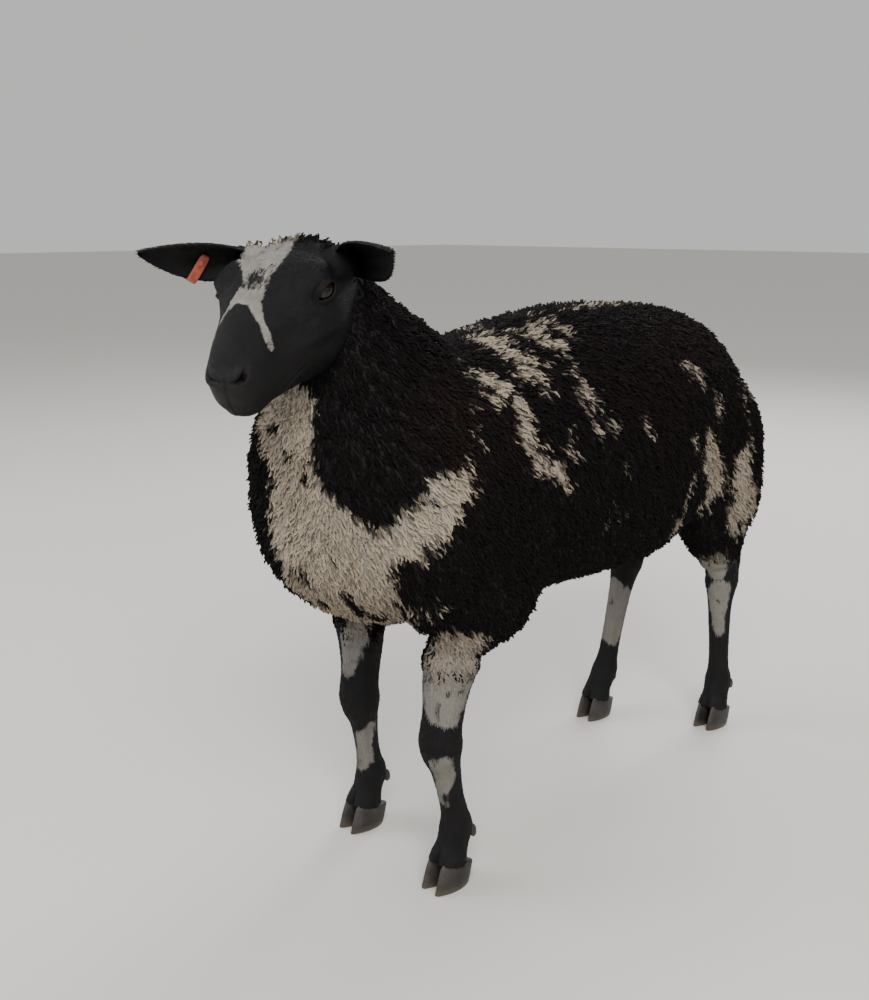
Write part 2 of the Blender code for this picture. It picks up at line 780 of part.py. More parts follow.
def coronet(name):
    """Return the plane where hoof horn begins: a point and the upward normal."""
    foot_x, foot_y = FEET[name]
    return Vector((foot_x, foot_y, HOOF_HEIGHT)), Vector((0.0, HOOF_SLOPE, 1.0)).normalized()


def claw_outline(step, grow):
    """Return one point of a claw's outline: flat inside, curved outside, pointed toe."""
    turn = 2.0 * math.pi * step / 14
    x = math.cos(turn) * CLAW_WIDTH * 0.5
    y = math.sin(turn)
    toe = CLAW_LENGTH * 0.58 if y < 0 else CLAW_LENGTH * 0.42
    narrow = 1.0 - 0.35 * max(-y, 0.0) ** 2
    x = x * narrow + CLAW_WIDTH * 0.5
    x = min(max(x, 0.0), CLAW_WIDTH)
    return x * grow, y * toe * grow


def claw(leg_name, side, home):
    """Make one claw, its sole flat on the floor."""
    foot_x, foot_y = FEET[leg_name]
    rings = []
    for share, grow, lead in ((0.0, 1.0, 0.006), (0.5, 0.97, 0.001), (1.0, 0.88, -0.005)):
        points = []
        for step in range(14):
            x, y = claw_outline(step, grow)
            y -= lead + 0.012
            top = HOOF_HEIGHT - HOOF_SLOPE * y
            points.append(Vector((foot_x + side * (x + CLEFT / 2), foot_y + y, share * top)))
        rings.append(points)
    return object_from(loft(rings), "claw_form", home)


def eye_matrix(side):
    """Return the placing of one eye, its +X looking out of the socket."""
    place = Matrix.Translation((side * EYE_PLACE.x, EYE_PLACE.y, EYE_PLACE.z))
    aim = Vector((side * 0.90, -0.38, 0.10)).to_track_quat("X", "Z")
    return head_matrix() @ place @ aim.to_matrix().to_4x4()


def ball(size, segments, rings):
    """Return a sphere stretched to three half sizes."""
    bm = bmesh.new()
    bmesh.ops.create_uvsphere(bm, u_segments=segments, v_segments=rings, radius=1.0)
    bm.transform(Matrix.Diagonal((size[0], size[1], size[2], 1.0)))
    return bm


def eye(side, home):
    """Make one eyeball."""
    bm = ball((EYE_RADIUS,) * 3, 12, 8)
    bm.transform(eye_matrix(side))
    return object_from(bm, "eye_form", home)


def add_socket(skull, side):
    """Give the head one rimmed eye opening."""
    place = eye_matrix(side)
    reach = EYE_RADIUS + LID_THICKNESS
    rim = ball((reach, reach * 1.12, reach), 12, 7)
    rim.transform(place)
    combine(skull, as_cutter(rim, "lid_form"), "UNION")
    hollow = ball((EYE_RADIUS + PART_GAP * 2.0,) * 3, 12, 8)
    hollow.transform(place)
    combine(skull, as_cutter(hollow, "socket_form"), "DIFFERENCE")
    gap = ball((0.012, EYE_RADIUS * 1.02, EYE_RADIUS * 0.64), 12, 6)
    gap.transform(Matrix.Translation((0.012, 0.0, -0.0005)))
    gap.transform(place)
    combine(skull, as_cutter(gap, "lid_opening"), "DIFFERENCE")
    return skull


def add_mouth(skull):
    """Cut the line of the mouth round the muzzle."""
    place = head_matrix()
    back = place.inverted()
    tree_mesh = bmesh.new()
    tree_mesh.from_mesh(skull.data)
    tree_mesh.transform(back)
    tree = BVHTree.FromBMesh(tree_mesh)
    tree_mesh.free()
    start = Vector((0.0, -0.135, -0.040))
    rings = []
    for step in range(17):
        turn = math.radians(-118.0 + 236.0 * step / 16)
        way = Vector((math.sin(turn), -math.cos(turn), -0.10 - 0.05 * math.cos(turn)))
        way.normalize()
        hit = tree.ray_cast(start, way)[0]
        edge = 0.35 if step in (0, 16) else 1.0
        inner = hit - way * 0.0045 * edge
        outer = hit + way * 0.006
        rise = Vector((0, 0, 0.0016 * edge))
        rings.append([place @ inner, place @ (outer + rise), place @ (outer - rise)])
    return combine(skull, as_cutter(loft(rings), "mouth_line"), "DIFFERENCE")


def add_nostril(skull, side):
    """Cut one comma-shaped nostril where the ray from inside the muzzle comes out."""
    bm = bmesh.new()
    bm.from_mesh(skull.data)
    bm.transform(head_matrix().inverted())
    way = Vector((side * 0.62, -1.0, 0.16)).normalized()
    hit = BVHTree.FromBMesh(bm).ray_cast(Vector((side * 0.006, -0.165, -0.002)), way)[0]
    bm.free()
    bm = ball((0.0105, 0.0040, 0.0048), 10, 6)
    for vert in bm.verts:
        vert.co.y += 30.0 * vert.co.x ** 2
    across = Vector((side * 0.78, 0.45, 0.42)).normalized()
    rise = way.cross(across).normalized()
    turn = Matrix((across, rise * side, way)).transposed().to_4x4()
    bm.transform(Matrix.Translation(hit) @ turn)
    bm.transform(head_matrix())
    return combine(skull, as_cutter(bm, "nostril_form"), "DIFFERENCE")


def head_lobe(centre, size, home):
    """Return one rounded lobe of the skull in the head's frame."""
    bm = ball(size, 24, 16)
    bm.transform(head_matrix() @ Matrix.Translation(centre))
    return object_from(bm, "lobe", home)


def head_node(home):
    """Make the head with brows, cheeks, lips, nostrils and lids."""
    shells = [head(home)]
    for side in (-1.0, 1.0):
        shells.append(head_lobe((side * 0.048, -0.056, 0.030), (0.016, 0.030, 0.013), home))
        shells.append(head_lobe((side * 0.040, -0.020, -0.040), (0.026, 0.050, 0.046), home))
        shells.append(head_lobe((side * 0.0150, -0.175, -0.005), (0.0150, 0.024, 0.021), home))
        shells.append(head_lobe((side * 0.053, -0.002, 0.012), (0.019, 0.021, 0.022), home))
    shells.append(head_lobe((0.0, -0.166, -0.042), (0.024, 0.031, 0.014), home))
    shells.append(head_lobe((0.0, -0.004, 0.019), (0.050, 0.034, 0.018), home))
    skull = relax(blend(joined(shells, "head"), 0.003), 5, lambda co: np.full(len(co), 0.8))
    skull = thin_out(skull, HEAD_TRIANGLES)
    combine(skull, half_space(HEAD_CUT[0] + HEAD_CUT[1] * PART_GAP, -HEAD_CUT[1], "behind_head", 0.3), "DIFFERENCE")
    for side in (-1.0, 1.0):
        add_socket(skull, side)
        add_nostril(skull, side)
        seat = box((0.050, 0.043, 0.029), (0.025, 0.0, -0.0115))
        seat.transform(ear_matrix(side))
        combine(skull, as_cutter(seat, "ear_seat"), "DIFFERENCE")
    add_mouth(skull)
    return largest_only(skull)


def ear_matrix(side):
    """Return the placing of one ear: +X runs to its tip, +Z faces out of the cup."""
    yaw = Matrix.Rotation(HEAD_YAW, 4, "Z").to_3x3()
    along = Vector((side * math.cos(EAR_SWEEP), -math.sin(EAR_SWEEP), math.tan(EAR_RISE)))
    along = (yaw @ along).normalized()
    open_way = yaw @ Vector((side * 0.30, -0.88, -0.30))
    open_way = (open_way - along * open_way.dot(along)).normalized()
    across = open_way.cross(along)
    turn = Matrix((along, across, open_way)).transposed().to_4x4()
    root = head_matrix() @ Vector((side * 0.0680, -0.0085, 0.0155 + side * 0.0020))
    return Matrix.Translation(root) @ turn


def ear_section(t):
    """Return the half width, cup depth and wall of the ear at a share of its length."""
    width = EAR_HALF_WIDTH * (math.sin(math.pi * min(t * 0.78 + 0.22, 1.0)) ** 0.8 + 0.05)
    width = max(width * (1.0 - 0.15 * t), 0.0016)
    cup = 0.016 * (1.0 - t) ** 0.7 + 0.003
    return width, cup, EAR_THICKNESS * (1.0 - 0.45 * t)


def ear(side, home):
    """Make one cupped, pointed ear as a closed shell."""
    rings = []
    for step in range(10):
        t = step / 9
        along = PART_GAP + EAR_LENGTH * t
        width, cup, wall = ear_section(t)
        # the upper edge is nearly straight and the lower one full
        bow = -side * EAR_BOW * math.sin(math.pi * t)
        points = []
        for k in range(7):
            v = -1.0 + 2.0 * k / 6
            points.append(Vector((along, v * width + bow, -cup * (1.0 - v * v) - wall * (1 - 0.5 * v * v))))
        for k in range(7):
            v = 1.0 - 2.0 * k / 6
            points.append(Vector((along, v * width * 0.93 + bow, -cup * (1.0 - v * v))))
        rings.append(points)
    bm = loft(rings)
    bm.transform(ear_matrix(side))
    made = object_from(bm, "ear_form", home)
    if side < 0:
        hole = stud_rod(TAG_STUD + PART_GAP, 0.020)
        combine(made, as_cutter(hole, "stud_hole"), "DIFFERENCE")
    return made


def tag_matrix():
    """Return the tag's placing: +Y runs down the strap, +Z faces out of the ear's cup."""
    width, cup, wall = ear_section(TAG_PLACE)
    bow = EAR_BOW * math.sin(math.pi * TAG_PLACE)
    high = Vector((0.0, 0.12 * width + bow, -cup))
    low = Vector((0.0, 0.93 * width + bow, 0.0))
    down = (low - high).normalized()
    across = Vector((1.0, 0.0, 0.0))
    turn = Matrix((across, down, across.cross(down))).transposed().to_4x4()
    start = high + Vector((EAR_LENGTH * TAG_PLACE, 0.0, 0.0))
    return ear_matrix(-1.0) @ Matrix.Translation(start) @ turn @ Matrix.Rotation(-TAG_TILT, 4, "Z")


def box(size, centre):
    """Return a block as a bmesh."""
    bm = bmesh.new()
    bmesh.ops.create_cube(bm, size=1.0)
    bm.transform(Matrix.Translation(centre) @ Matrix.Diagonal((size[0], size[1], size[2], 1.0)))
    return bm


def stud_rod(radius, length):
    """Return the rod through the ear, centred on the strap's hold."""
    bm = bmesh.new()
    bmesh.ops.create_cone(bm, cap_ends=True, segments=16, radius1=radius, radius2=radius, depth=length)
    bm.transform(tag_matrix() @ Matrix.Translation((0.0, TAG_HOLD, -0.002)))
    return bm


def ear_tag(home):
    """Make the strap tag: a leaf before the ear, one behind, the fold below and the stud."""
    wide, thick, long = TAG_SIZE
    front = thick / 2 + 0.0036
    back = -TAG_DEPTH
    middle = long / 2 - 0.002
    made = None
    for size, centre in (
        ((wide, long, thick), (0.0, middle, front)),
        ((wide, long, thick), (0.0, middle, back)),
        ((wide, thick, front - back + thick), (0.0, middle + long / 2 - thick / 2, (front + back) / 2)),
    ):
        bm = box(size, centre)
        bm.transform(tag_matrix())
        if made is None:
            made = object_from(bm, "tag_form", home)
        else:
            combine(made, as_cutter(bm, "tag_leaf"), "UNION")
    combine(made, as_cutter(stud_rod(TAG_STUD, TAG_DEPTH + thick + 0.0012), "tag_stud"), "UNION")
    return made


def main():
    """Build every node."""
    clear_scene()
    parts = collection("sheep")
    nodes = woolly_nodes(parts)
    nodes["tail"] = tail_node(parts)
    finish(nodes["torso"], "torso", "fleece_black", (0.0, 0.0, 0.53))
    finish(nodes["neck"], "neck", "fleece_black", (0.0, -0.370, 0.640))
    finish(nodes["tail"], "tail", "fleece_black", (0.0, 0.449, 0.600))
    for side in ("left", "right"):
        out = 1.0 if side == "left" else -1.0
        finish(nodes["thigh_" + side], "thigh_" + side, "fleece_black", (out * 0.08, 0.30, 0.50))
        for kind in ("foreleg", "hindleg"):
            name = kind + "_" + side
            x, y = FEET[name]
            finish(leg_node(name, parts), name, "leg_black", (x, y, LEG_CUT[kind]))
            for place, sign in (("inner", -out), ("outer", out)):
                horn = "claw_%s_%s" % (name, place)
                finish(claw(name, sign, parts), horn, "hoof_horn", (x, y, HOOF_HEIGHT))
    finish(head_node(parts), "head", "face_black", POLL)
    for side, out in (("left", 1.0), ("right", -1.0)):
        finish(eye(out, parts), "eye_" + side, "eye_dark", eye_matrix(out).translation)
        finish(ear(out, parts), "ear_" + side, "face_black", ear_matrix(out).translation)
    finish(ear_tag(parts), "ear_tag", "tag_salmon", tag_matrix().translation)
    for item in parts.objects:
        item.location += FRAME_SHIFT


main()
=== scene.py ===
"""Dutch Spotted sheep, life size: skin, fleece, short hair, eyes, hooves and ear tag."""
import json
from math import copysign, cos, exp, pi, radians, sin, tan, tau

import bmesh
import bpy
import numpy as np
from bpy.props import FloatProperty, FloatVectorProperty, IntProperty, PointerProperty
from mathutils import Matrix, Vector

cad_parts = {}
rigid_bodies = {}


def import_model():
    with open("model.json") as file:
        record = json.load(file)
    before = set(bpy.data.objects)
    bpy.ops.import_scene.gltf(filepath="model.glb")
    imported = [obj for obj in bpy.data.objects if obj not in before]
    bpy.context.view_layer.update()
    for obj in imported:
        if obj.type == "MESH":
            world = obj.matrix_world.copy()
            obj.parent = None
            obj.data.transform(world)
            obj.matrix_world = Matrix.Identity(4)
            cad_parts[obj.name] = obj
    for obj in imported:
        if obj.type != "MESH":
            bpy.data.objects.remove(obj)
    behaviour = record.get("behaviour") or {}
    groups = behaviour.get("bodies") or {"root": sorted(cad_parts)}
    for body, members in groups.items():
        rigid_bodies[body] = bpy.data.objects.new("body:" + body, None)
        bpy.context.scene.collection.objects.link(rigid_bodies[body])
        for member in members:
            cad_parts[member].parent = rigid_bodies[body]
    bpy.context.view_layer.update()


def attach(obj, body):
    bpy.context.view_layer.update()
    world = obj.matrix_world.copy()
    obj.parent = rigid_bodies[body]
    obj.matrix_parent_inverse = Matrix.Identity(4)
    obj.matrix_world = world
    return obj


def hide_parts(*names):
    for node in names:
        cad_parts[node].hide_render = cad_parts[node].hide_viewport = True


bl_info = {
    "name": "Spotted sheep dressing",
    "version": (1, 0, 0),
    "blender": (4, 5, 0),
    "location": "View3D > Sidebar > Sheep",
    "description": "Builds the skin, fleece and fittings of a life-size sheep",
    "category": "Object",
}

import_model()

# The animal is worked out with x to its left, y to its rear and the hooves about y = 0;
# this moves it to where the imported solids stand
FRAME_SHIFT = Vector((0.0, 0.0695, 0.0))


def metres(rows):
    """Return rows that are given in millimetres as rows in metres."""
    return [tuple(v / 1000.0 for v in row) for row in rows]


# Heights that the trunk's rows are given from, how deep the skin lies under wool and under short
# hair, and the least reach of a section of trunk, neck or haunch
WITHERS_HEIGHT = 0.715
BACK_HEIGHT = 0.735
SKIN_DEPTH = 0.0105
LEG_COVER = 0.002
LEAST_REACH = 0.006

POLL = Vector((0.004, -0.472, 0.797))
HEAD_YAW = radians(24.0)
HEAD_PITCH = radians(31.0)
HEAD_CUT = (Vector((0.003, -0.440, 0.755)), Vector((0.12, -0.80, 0.60)).normalized())
NECK_CUT = (Vector((0.0, -0.370, 0.640)), Vector((0.0, -0.51, 0.86)))
THIGH_LINE = [(0.540, 0.570), (0.440, 0.545), (0.150, 0.465), (0.118, 0.400), (0.105, 0.260)]
NOSTRIL = Vector((0.0165, -0.1940, 0.0026))
EAR_LENGTH = 0.114
EAR_HALF_WIDTH = 0.0285
EAR_THICKNESS = 0.0036
EAR_SWEEP = radians(43.0)
EAR_RISE = radians(7.0)
EAR_BOW = 0.003
EAR_ROOT = (0.0680, -0.0085, 0.0155)
EYE_RADIUS = 0.0135
EYE_PLACE = Vector((0.0565, -0.061, 0.020))
LID_THICKNESS = 0.0030
HOOF_HEIGHT = 0.031
HOOF_SLOPE = 0.26
CLAW_LENGTH = 0.060
CLAW_WIDTH = 0.0235
CLEFT = 0.0016
CLAW_POINTS = 44
TAG_SIZE = (0.0110, 0.0018, 0.036)
TAG_PLACE = 0.34
TAG_TILT = radians(24.0)
TAG_HOLD = 0.008
TAG_DEPTH = 0.0115
TAG_BEND = 0.004

# Heights of the knee and of the hock, and the stretch of a leg over which it leans
JOINT_HEIGHTS = {"foreleg": 0.205, "hindleg": 0.262}
LEAN_START = 0.05
LEAN_SPAN = 0.235
# The stretch over which the skin of a leg's root and of the haunch comes to its full depth
DEPTH_START = 0.31
DEPTH_SPAN = 0.04

# Claw rows, from the sole to the crown: share of the height, share of the size, lead of the toe
CLAW_ROWS = [
    (0.0, 0.955, 0.006), (0.04, 1.0, 0.006), (0.25, 0.99, 0.0035), (0.5, 0.97, 0.001),
    (0.78, 0.935, -0.002), (0.96, 0.90, -0.0045), (1.0, 0.85, -0.005),
]

# Cells that the shells of the body are fused with, and those of the head: its bones, the rims
# of its eyes and the openings between the lids
BODY_CELL = 0.0090
BONE_CELL = 0.0024
RIM_CELL = 0.0018
LID_CELL = 0.0017

SIGN = {"left": 1.0, "right": -1.0}
X_AXIS, Y_AXIS, Z_AXIS = Vector((1.0, 0.0, 0.0)), Vector((0.0, 1.0, 0.0)), Vector((0.0, 0.0, 1.0))

# Feet: where each hoof stands, and how far the hock or knee stands behind it
FEET = {
    "foreleg_left": (0.096, -0.310),
    "foreleg_right": (-0.096, -0.290),
    "hindleg_left": (0.083, 0.362),
    "hindleg_right": (-0.083, 0.246),
}
LEAN = {
    "foreleg_left": 0.0,
    "foreleg_right": 0.0,
    "hindleg_left": -0.024,
    "hindleg_right": 0.068,
}

# Trunk rows: y, top z, widest z, bottom z, half width
TRUNK_ROWS = [
    (-0.500, 0.610, 0.535, 0.470, 0.045),
    (-0.488, 0.655, 0.540, 0.425, 0.092),
    (-0.455, 0.690, 0.540, 0.388, 0.135),
    (-0.400, 0.704, 0.535, 0.360, 0.158),
    (-0.320, 0.710, 0.530, 0.346, 0.170),
    (-0.220, WITHERS_HEIGHT - 0.003, 0.530, 0.342, 0.178),
    (-0.100, BACK_HEIGHT - 0.004, 0.530, 0.340, 0.186),
    (0.000, BACK_HEIGHT + 0.009, 0.530, 0.335, 0.188),
    (0.100, BACK_HEIGHT + 0.007, 0.530, 0.328, 0.178),
    (0.180, 0.737, 0.540, 0.345, 0.160),
    (0.260, 0.721, 0.560, 0.385, 0.136),
    (0.340, 0.682, 0.570, 0.430, 0.102),
    (0.400, 0.640, 0.570, 0.470, 0.070),
    (0.438, 0.606, 0.560, 0.505, 0.038),
]

# Neck rows: x, y, z, turn in degrees, half width, throat reach, crest reach
NECK_ROWS = [
    (0.000, -0.325, 0.570, 0.0, 0.148, 0.164, 0.150),
    (0.000, -0.368, 0.635, 0.0, 0.134, 0.133, 0.130),
    (0.000, -0.402, 0.690, 4.0, 0.110, 0.102, 0.110),
    (0.003, -0.430, 0.740, 12.0, 0.081, 0.074, 0.079),
    (0.006, -0.450, 0.780, 20.0, 0.066, 0.060, 0.062),
    (0.008, -0.465, 0.808, 24.0, 0.046, 0.038, 0.040),
]

# Head rows in millimetres, in the head's own frame: y, top z, widest z, bottom z, half width
HEAD_ROWS = metres([
    (45, 3, -20, -60, 30),
    (30, 18, -15, -82, 54),
    (0, 32, -8, -96, 64),
    (-30, 42, -4, -99, 67),
    (-60, 47, -2, -95, 68),
    (-86, 46, -8, -86, 60),
    (-112, 43, -14, -75, 48),
    (-138, 40, -18, -66, 39),
    (-162, 33, -19, -55, 34.5),
    (-183, 20, -19, -50, 29.5),
    (-196, 2, -19, -41, 21.5),
    (-201, -10, -21, -32, 11),
])

# Lobes that the skull is rounded out with, as centre and half sizes: brow, cheek, nostril and
# ear root on each side, chin and poll in the middle
SKULL_LOBES = [
    (0.048, -0.056, 0.030, 0.016, 0.030, 0.013),
    (0.040, -0.020, -0.040, 0.026, 0.050, 0.046),
    (0.0150, -0.175, -0.005, 0.0150, 0.024, 0.021),
    (0.053, -0.002, 0.012, 0.019, 0.021, 0.022),
]
MIDDLE_LOBES = [
    (0.0, -0.166, -0.042, 0.024, 0.031, 0.014),
    (0.0, -0.004, 0.019, 0.050, 0.034, 0.018),
]

# Leg rows in millimetres: z, shift forward from the hoof, shift outward, half width, back reach
# and front reach
FORELEG_ROWS = metres([
    (430, 12, 20, 50, 70, 60),
    (370, 14, 12, 44, 52, 44),
    (320, 17, 4, 36, 40, 34),
    (280, 20, -2, 29, 33, 29),
    (245, 23, -4, 25.5, 28, 26),
    (215, 26, -5, 26.5, 26, 26),
    (190, 25, -5, 26, 26, 24),
    (165, 19, -4, 19.5, 21, 18),
    (130, 13, -2, 16, 19, 15),
    (100, 8, 0, 17, 21, 15),
    (78, 5, 0, 21, 26, 18),
    (55, 9, 0, 20.5, 21, 21),
    (36, 16, 0, 24, 25, 26),
    (22, 20, 0, 23.5, 28, 28),
])
HINDLEG_ROWS = metres([
    (430, 60, 0, 50, 90, 80),
    (380, 45, 2, 44, 72, 66),
    (335, 20, 3, 35, 50, 50),
    (305, 2, 3, 28, 40, 36),
    (280, -2, 3, 24.5, 34, 29),
    (250, 0, 3, 22.5, 26, 25),
    (215, 2, 2, 18, 21, 19),
    (150, 3, 1, 16, 19, 16),
    (105, 4, 0, 17, 21, 15),
    (80, 4, 0, 21, 26, 18),
    (56, 9, 0, 20.5, 21, 21),
    (36, 16, 0, 23.5, 24, 25),
    (22, 20, 0, 23, 27, 27),
])
LEG_ROWS = {"foreleg": FORELEG_ROWS, "hindleg": HINDLEG_ROWS}

# Thigh rows in millimetres: z, shift forward from the hoof, out from the midline, half width,
# back and front reach
THIGH_ROWS = metres([
    (645, 100, 58, 44, 66, 88),
    (590, 85, 70, 64, 118, 130),
    (530, 70, 76, 68, 146, 145),
    (460, 50, 78, 64, 140, 130),
    (400, 38, 84, 58, 120, 105),
    (360, 36, 88, 50, 86, 82),
    (335, 32, 89, 42, 62, 62),
    (315, 20, 88, 34, 44, 44),
])

# Shoulder lobes: centre, half sizes and tilt of the blade and of the elbow wool
SHOULDER_LOBES = [
    ((0.112, -0.325, 0.515), (0.066, 0.125, 0.165), -14.0),
    ((0.116, -0.285, 0.420), (0.062, 0.108, 0.104), 0.0),
]

# Places where the shells of the body meet in a soft join, and how wide it is: flank, elbow, side
# of the neck, top of the foreleg and rump on each side, withers and breast in the middle
SOFT_JOINS = [
    (0.12, 0.16, 0.50, 0.17), (0.13, -0.20, 0.45, 0.15), (0.10, -0.40, 0.62, 0.15),
    (0.10, -0.31, 0.35, 0.09), (0.08, 0.40, 0.62, 0.10), (0.0, -0.27, 0.74, 0.12),
    (0.0, -0.49, 0.62, 0.10),
]

# Tail rows in millimetres: y, z, half width, back reach, front reach
TAIL_ROWS = metres([
    (385, 612, 30, 22, 22),
    (425, 610, 34, 24, 24),
    (456, 594, 35, 23, 23),
    (472, 552, 33, 21, 20),
    (476, 500, 32, 20, 19),
    (476, 430, 31, 19, 18),
    (474, 370, 28, 17, 16),
    (474, 325, 22, 13, 12),
    (472, 310, 10, 6, 6),
])

# White marks, and dark ones where the strength is below 0: strength, then the points of the line
# that the mark runs along, as x, y, z and half width in millimetres
MARK_UNITS = 1000.0
MARKS = {
    "chest_band": (1.00, [(-13, -491, 630, 53), (-6, -494, 617, 51), (6, -496, 598, 34),
        (14, -495, 575, 45), (18, -493, 552, 48), (15, -490, 527, 53), (29, -499, 507, 59),
        (46, -500, 487, 66), (55, -489, 463, 85), (51, -476, 434, 54)]),
    "chest_arm": (1.00, [(88, -479, 492, 32), (116, -458, 496, 28), (133, -436, 506, 29),
        (147, -412, 526, 28), (160, -396, 548, 27), (164, -375, 564, 18), (160, -355, 574, 14)]),
    "neck_streak": (0.55, [(159, -361, 587, 11), (151, -345, 609, 10), (144, -338, 630, 8),
        (131, -328, 651, 7)]),
    "brisket_streak": (0.60, [(81, -409, 393, 9), (121, -417, 411, 13), (141, -396, 416, 11)]),
    "fr_top": (0.92, [(71, -463, 421, 39), (48, -439, 387, 64), (-82, -335, 296, 22),
        (-85, -336, 273, 20), (-88, -338, 254, 13)]),
    "fr_top_dark": (-1.00, [(66, -465, 414, 4), (69, -449, 403, 11), (70, -430, 392, 9)]),
    "fr_cannon": (1.00, [(-74, -312, 159, 11), (-80, -314, 139, 15), (-83, -310, 118, 13),
        (-94, -312, 94, 11)]),
    "fl_top": (0.92, [(125, -346, 328, 48), (121, -349, 312, 46), (116, -350, 289, 36),
        (113, -350, 272, 35)]),
    "fl_cannon": (1.00, [(106, -352, 182, 15), (103, -342, 158, 13), (97, -339, 138, 9),
        (96, -336, 120, 6)]),
    "hr_top": (0.95, [(-94, 275, 225, 20), (-79, 273, 207, 32), (-74, 273, 180, 32),
        (-78, 259, 151, 25)]),
    "hl_top": (0.85, [(99, 285, 312, 30), (96, 301, 295, 24)]),
    "hl_cannon": (0.95, [(96, 318, 258, 18), (94, 322, 235, 19), (93, 327, 207, 14),
        (95, 334, 175, 8)]),
    "saddle_a": (0.95, [(100, -296, 686, 10), (103, -278, 669, 18), (114, -272, 661, 23),
        (123, -258, 652, 15), (134, -252, 639, 18), (143, -253, 626, 16), (155, -261, 610, 16),
        (157, -253, 591, 11), (162, -240, 571, 14), (164, -229, 559, 13), (166, -210, 555, 10),
        (169, -191, 538, 8)]),
    "saddle_a_low": (0.60, [(131, -305, 655, 16), (139, -303, 643, 9)]),
    "saddle_a_side": (0.70, [(159, -233, 591, 5), (163, -225, 569, 8)]),
    "saddle_a_end": (0.80, [(163, -210, 592, 5), (169, -202, 566, 6)]),
    "saddle_b": (0.62, [(-17, -173, 712, 11), (47, -203, 707, 28), (73, -204, 699, 20),
        (86, -193, 686, 22), (114, -206, 676, 23), (127, -198, 666, 14), (141, -194, 652, 8)]),
    "saddle_b_side": (0.42, [(94, -169, 685, 11), (122, -181, 671, 18)]),
    "saddle_c": (0.95, [(33, -149, 717, 9), (56, -146, 714, 11), (74, -137, 709, 10),
        (87, -127, 699, 12), (100, -127, 688, 7), (119, -133, 674, 6), (132, -134, 658, 9),
        (144, -134, 644, 11), (150, -125, 634, 12), (157, -130, 619, 8), (163, -128, 604, 8),
        (168, -125, 587, 6)]),
    "saddle_d": (0.55, [(49, -143, 717, 11), (47, -114, 722, 18), (38, -78, 723, 17),
        (54, -79, 716, 12), (74, -86, 709, 11)]),
    "back_line": (0.60, [(-29, -177, 713, 4), (-36, -133, 714, 5), (-25, -104, 718, 5),
        (-14, -76, 723, 6), (27, -81, 725, 6), (44, -75, 723, 6)]),
    "saddle_c_end": (0.45, [(153, -120, 630, 5), (161, -117, 612, 5), (168, -116, 590, 4)]),
    "loin_line": (0.75, [(22, -30, 733, 7), (20, 20, 740, 10), (16, 60, 741, 11), (14, 100, 741, 10),
        (14, 135, 738, 7)]),
    "rump_edge": (0.60, [(119, 303, 604, 5), (127, 312, 580, 8), (137, 313, 552, 7)]),
    "hr_bite": (-1.00, [(-52, 262, 205, 10), (-58, 262, 196, 8)]),
    "hr_spot": (-0.90, [(-56, 262, 168, 6), (-58, 262, 160, 5)]),
    "fl_top_shade": (-0.45, [(135, -355, 325, 12), (128, -362, 305, 12), (112, -368, 285, 9)]),
    "fleck_1": (0.50, [(162, -108, 617, 4), (168, -97, 597, 5)]),
    "fleck_2": (0.60, [(171, -30, 591, 6), (180, -18, 573, 4)]),
    "fleck_3": (0.50, [(167, -185, 602, 6), (173, -183, 583, 8), (176, -179, 567, 5)]),
    "fleck_4": (0.35, [(184, -84, 540, 8), (185, -84, 532, 6)]),
    "fleck_5": (0.30, [(172, -98, 487, 11), (167, -90, 468, 12)]),
    "fleck_6": (0.50, [(158, 65, 444, 5), (155, 74, 434, 5)]),
    "rump_dot": (0.70, [(140, 116, 648, 12), (138, 144, 638, 14)]),
    "rump_fleck": (0.60, [(149, 197, 589, 18), (148, 206, 575, 13)]),
    "rump_streak": (0.62, [(111, 310, 616, 10), (116, 323, 593, 14), (129, 312, 577, 8)]),
    "thigh_patch": (0.90, [(154, 150, 561, 15), (159, 156, 541, 22), (159, 170, 516, 31),
        (137, 216, 483, 25), (129, 225, 457, 25)]),
    "thigh_side": (0.50, [(141, 228, 495, 9), (131, 257, 467, 14), (128, 253, 447, 10)]),
    "buttock": (0.85, [(131, 315, 502, 22), (134, 316, 483, 21), (139, 303, 461, 37),
        (137, 305, 436, 36), (130, 313, 412, 51)]),
    "thigh_dot": (0.60, [(129, 204, 431, 15), (118, 228, 414, 10)]),
    "flank": (0.95, [(167, 95, 542, 10), (165, 106, 525, 10), (163, 111, 503, 8), (160, 108, 474, 10),
        (161, 99, 453, 6), (158, 95, 431, 12), (144, 105, 408, 13)]),
}

# Marks of the face, in the head's own axes and in tenths of a millimetre
HEAD_MARK_UNITS = 10000.0
HEAD_MARKS = {
    "bridge": (0.97, [(-80, -1120, 419, 85), (11, -1105, 425, 105), (85, -1095, 420, 75)]),
    "far_arm": (1.00, [(-144, -969, 434, 35), (-150, -1104, 415, 55), (-165, -1248, 391, 42),
        (-195, -1374, 355, 30), (-220, -1509, 302, 24), (-240, -1602, 244, 22)]),
    "near_arm": (1.00, [(94, -1160, 414, 63), (190, -1297, 363, 44), (261, -1384, 280, 42),
        (311, -1442, 175, 52), (334, -1465, 106, 58)]),
    "crown_fleck": (-1.00, [(-48, -645, 468, 18), (-6, -682, 468, 16)]),
    # crown_hollow dims the blaze with painted shade in a hollow of the crown
    "crown_hollow": (-0.52, [(-80, -740, 460, 75), (-30, -860, 458, 80), (-5, -960, 448, 60)]),
}

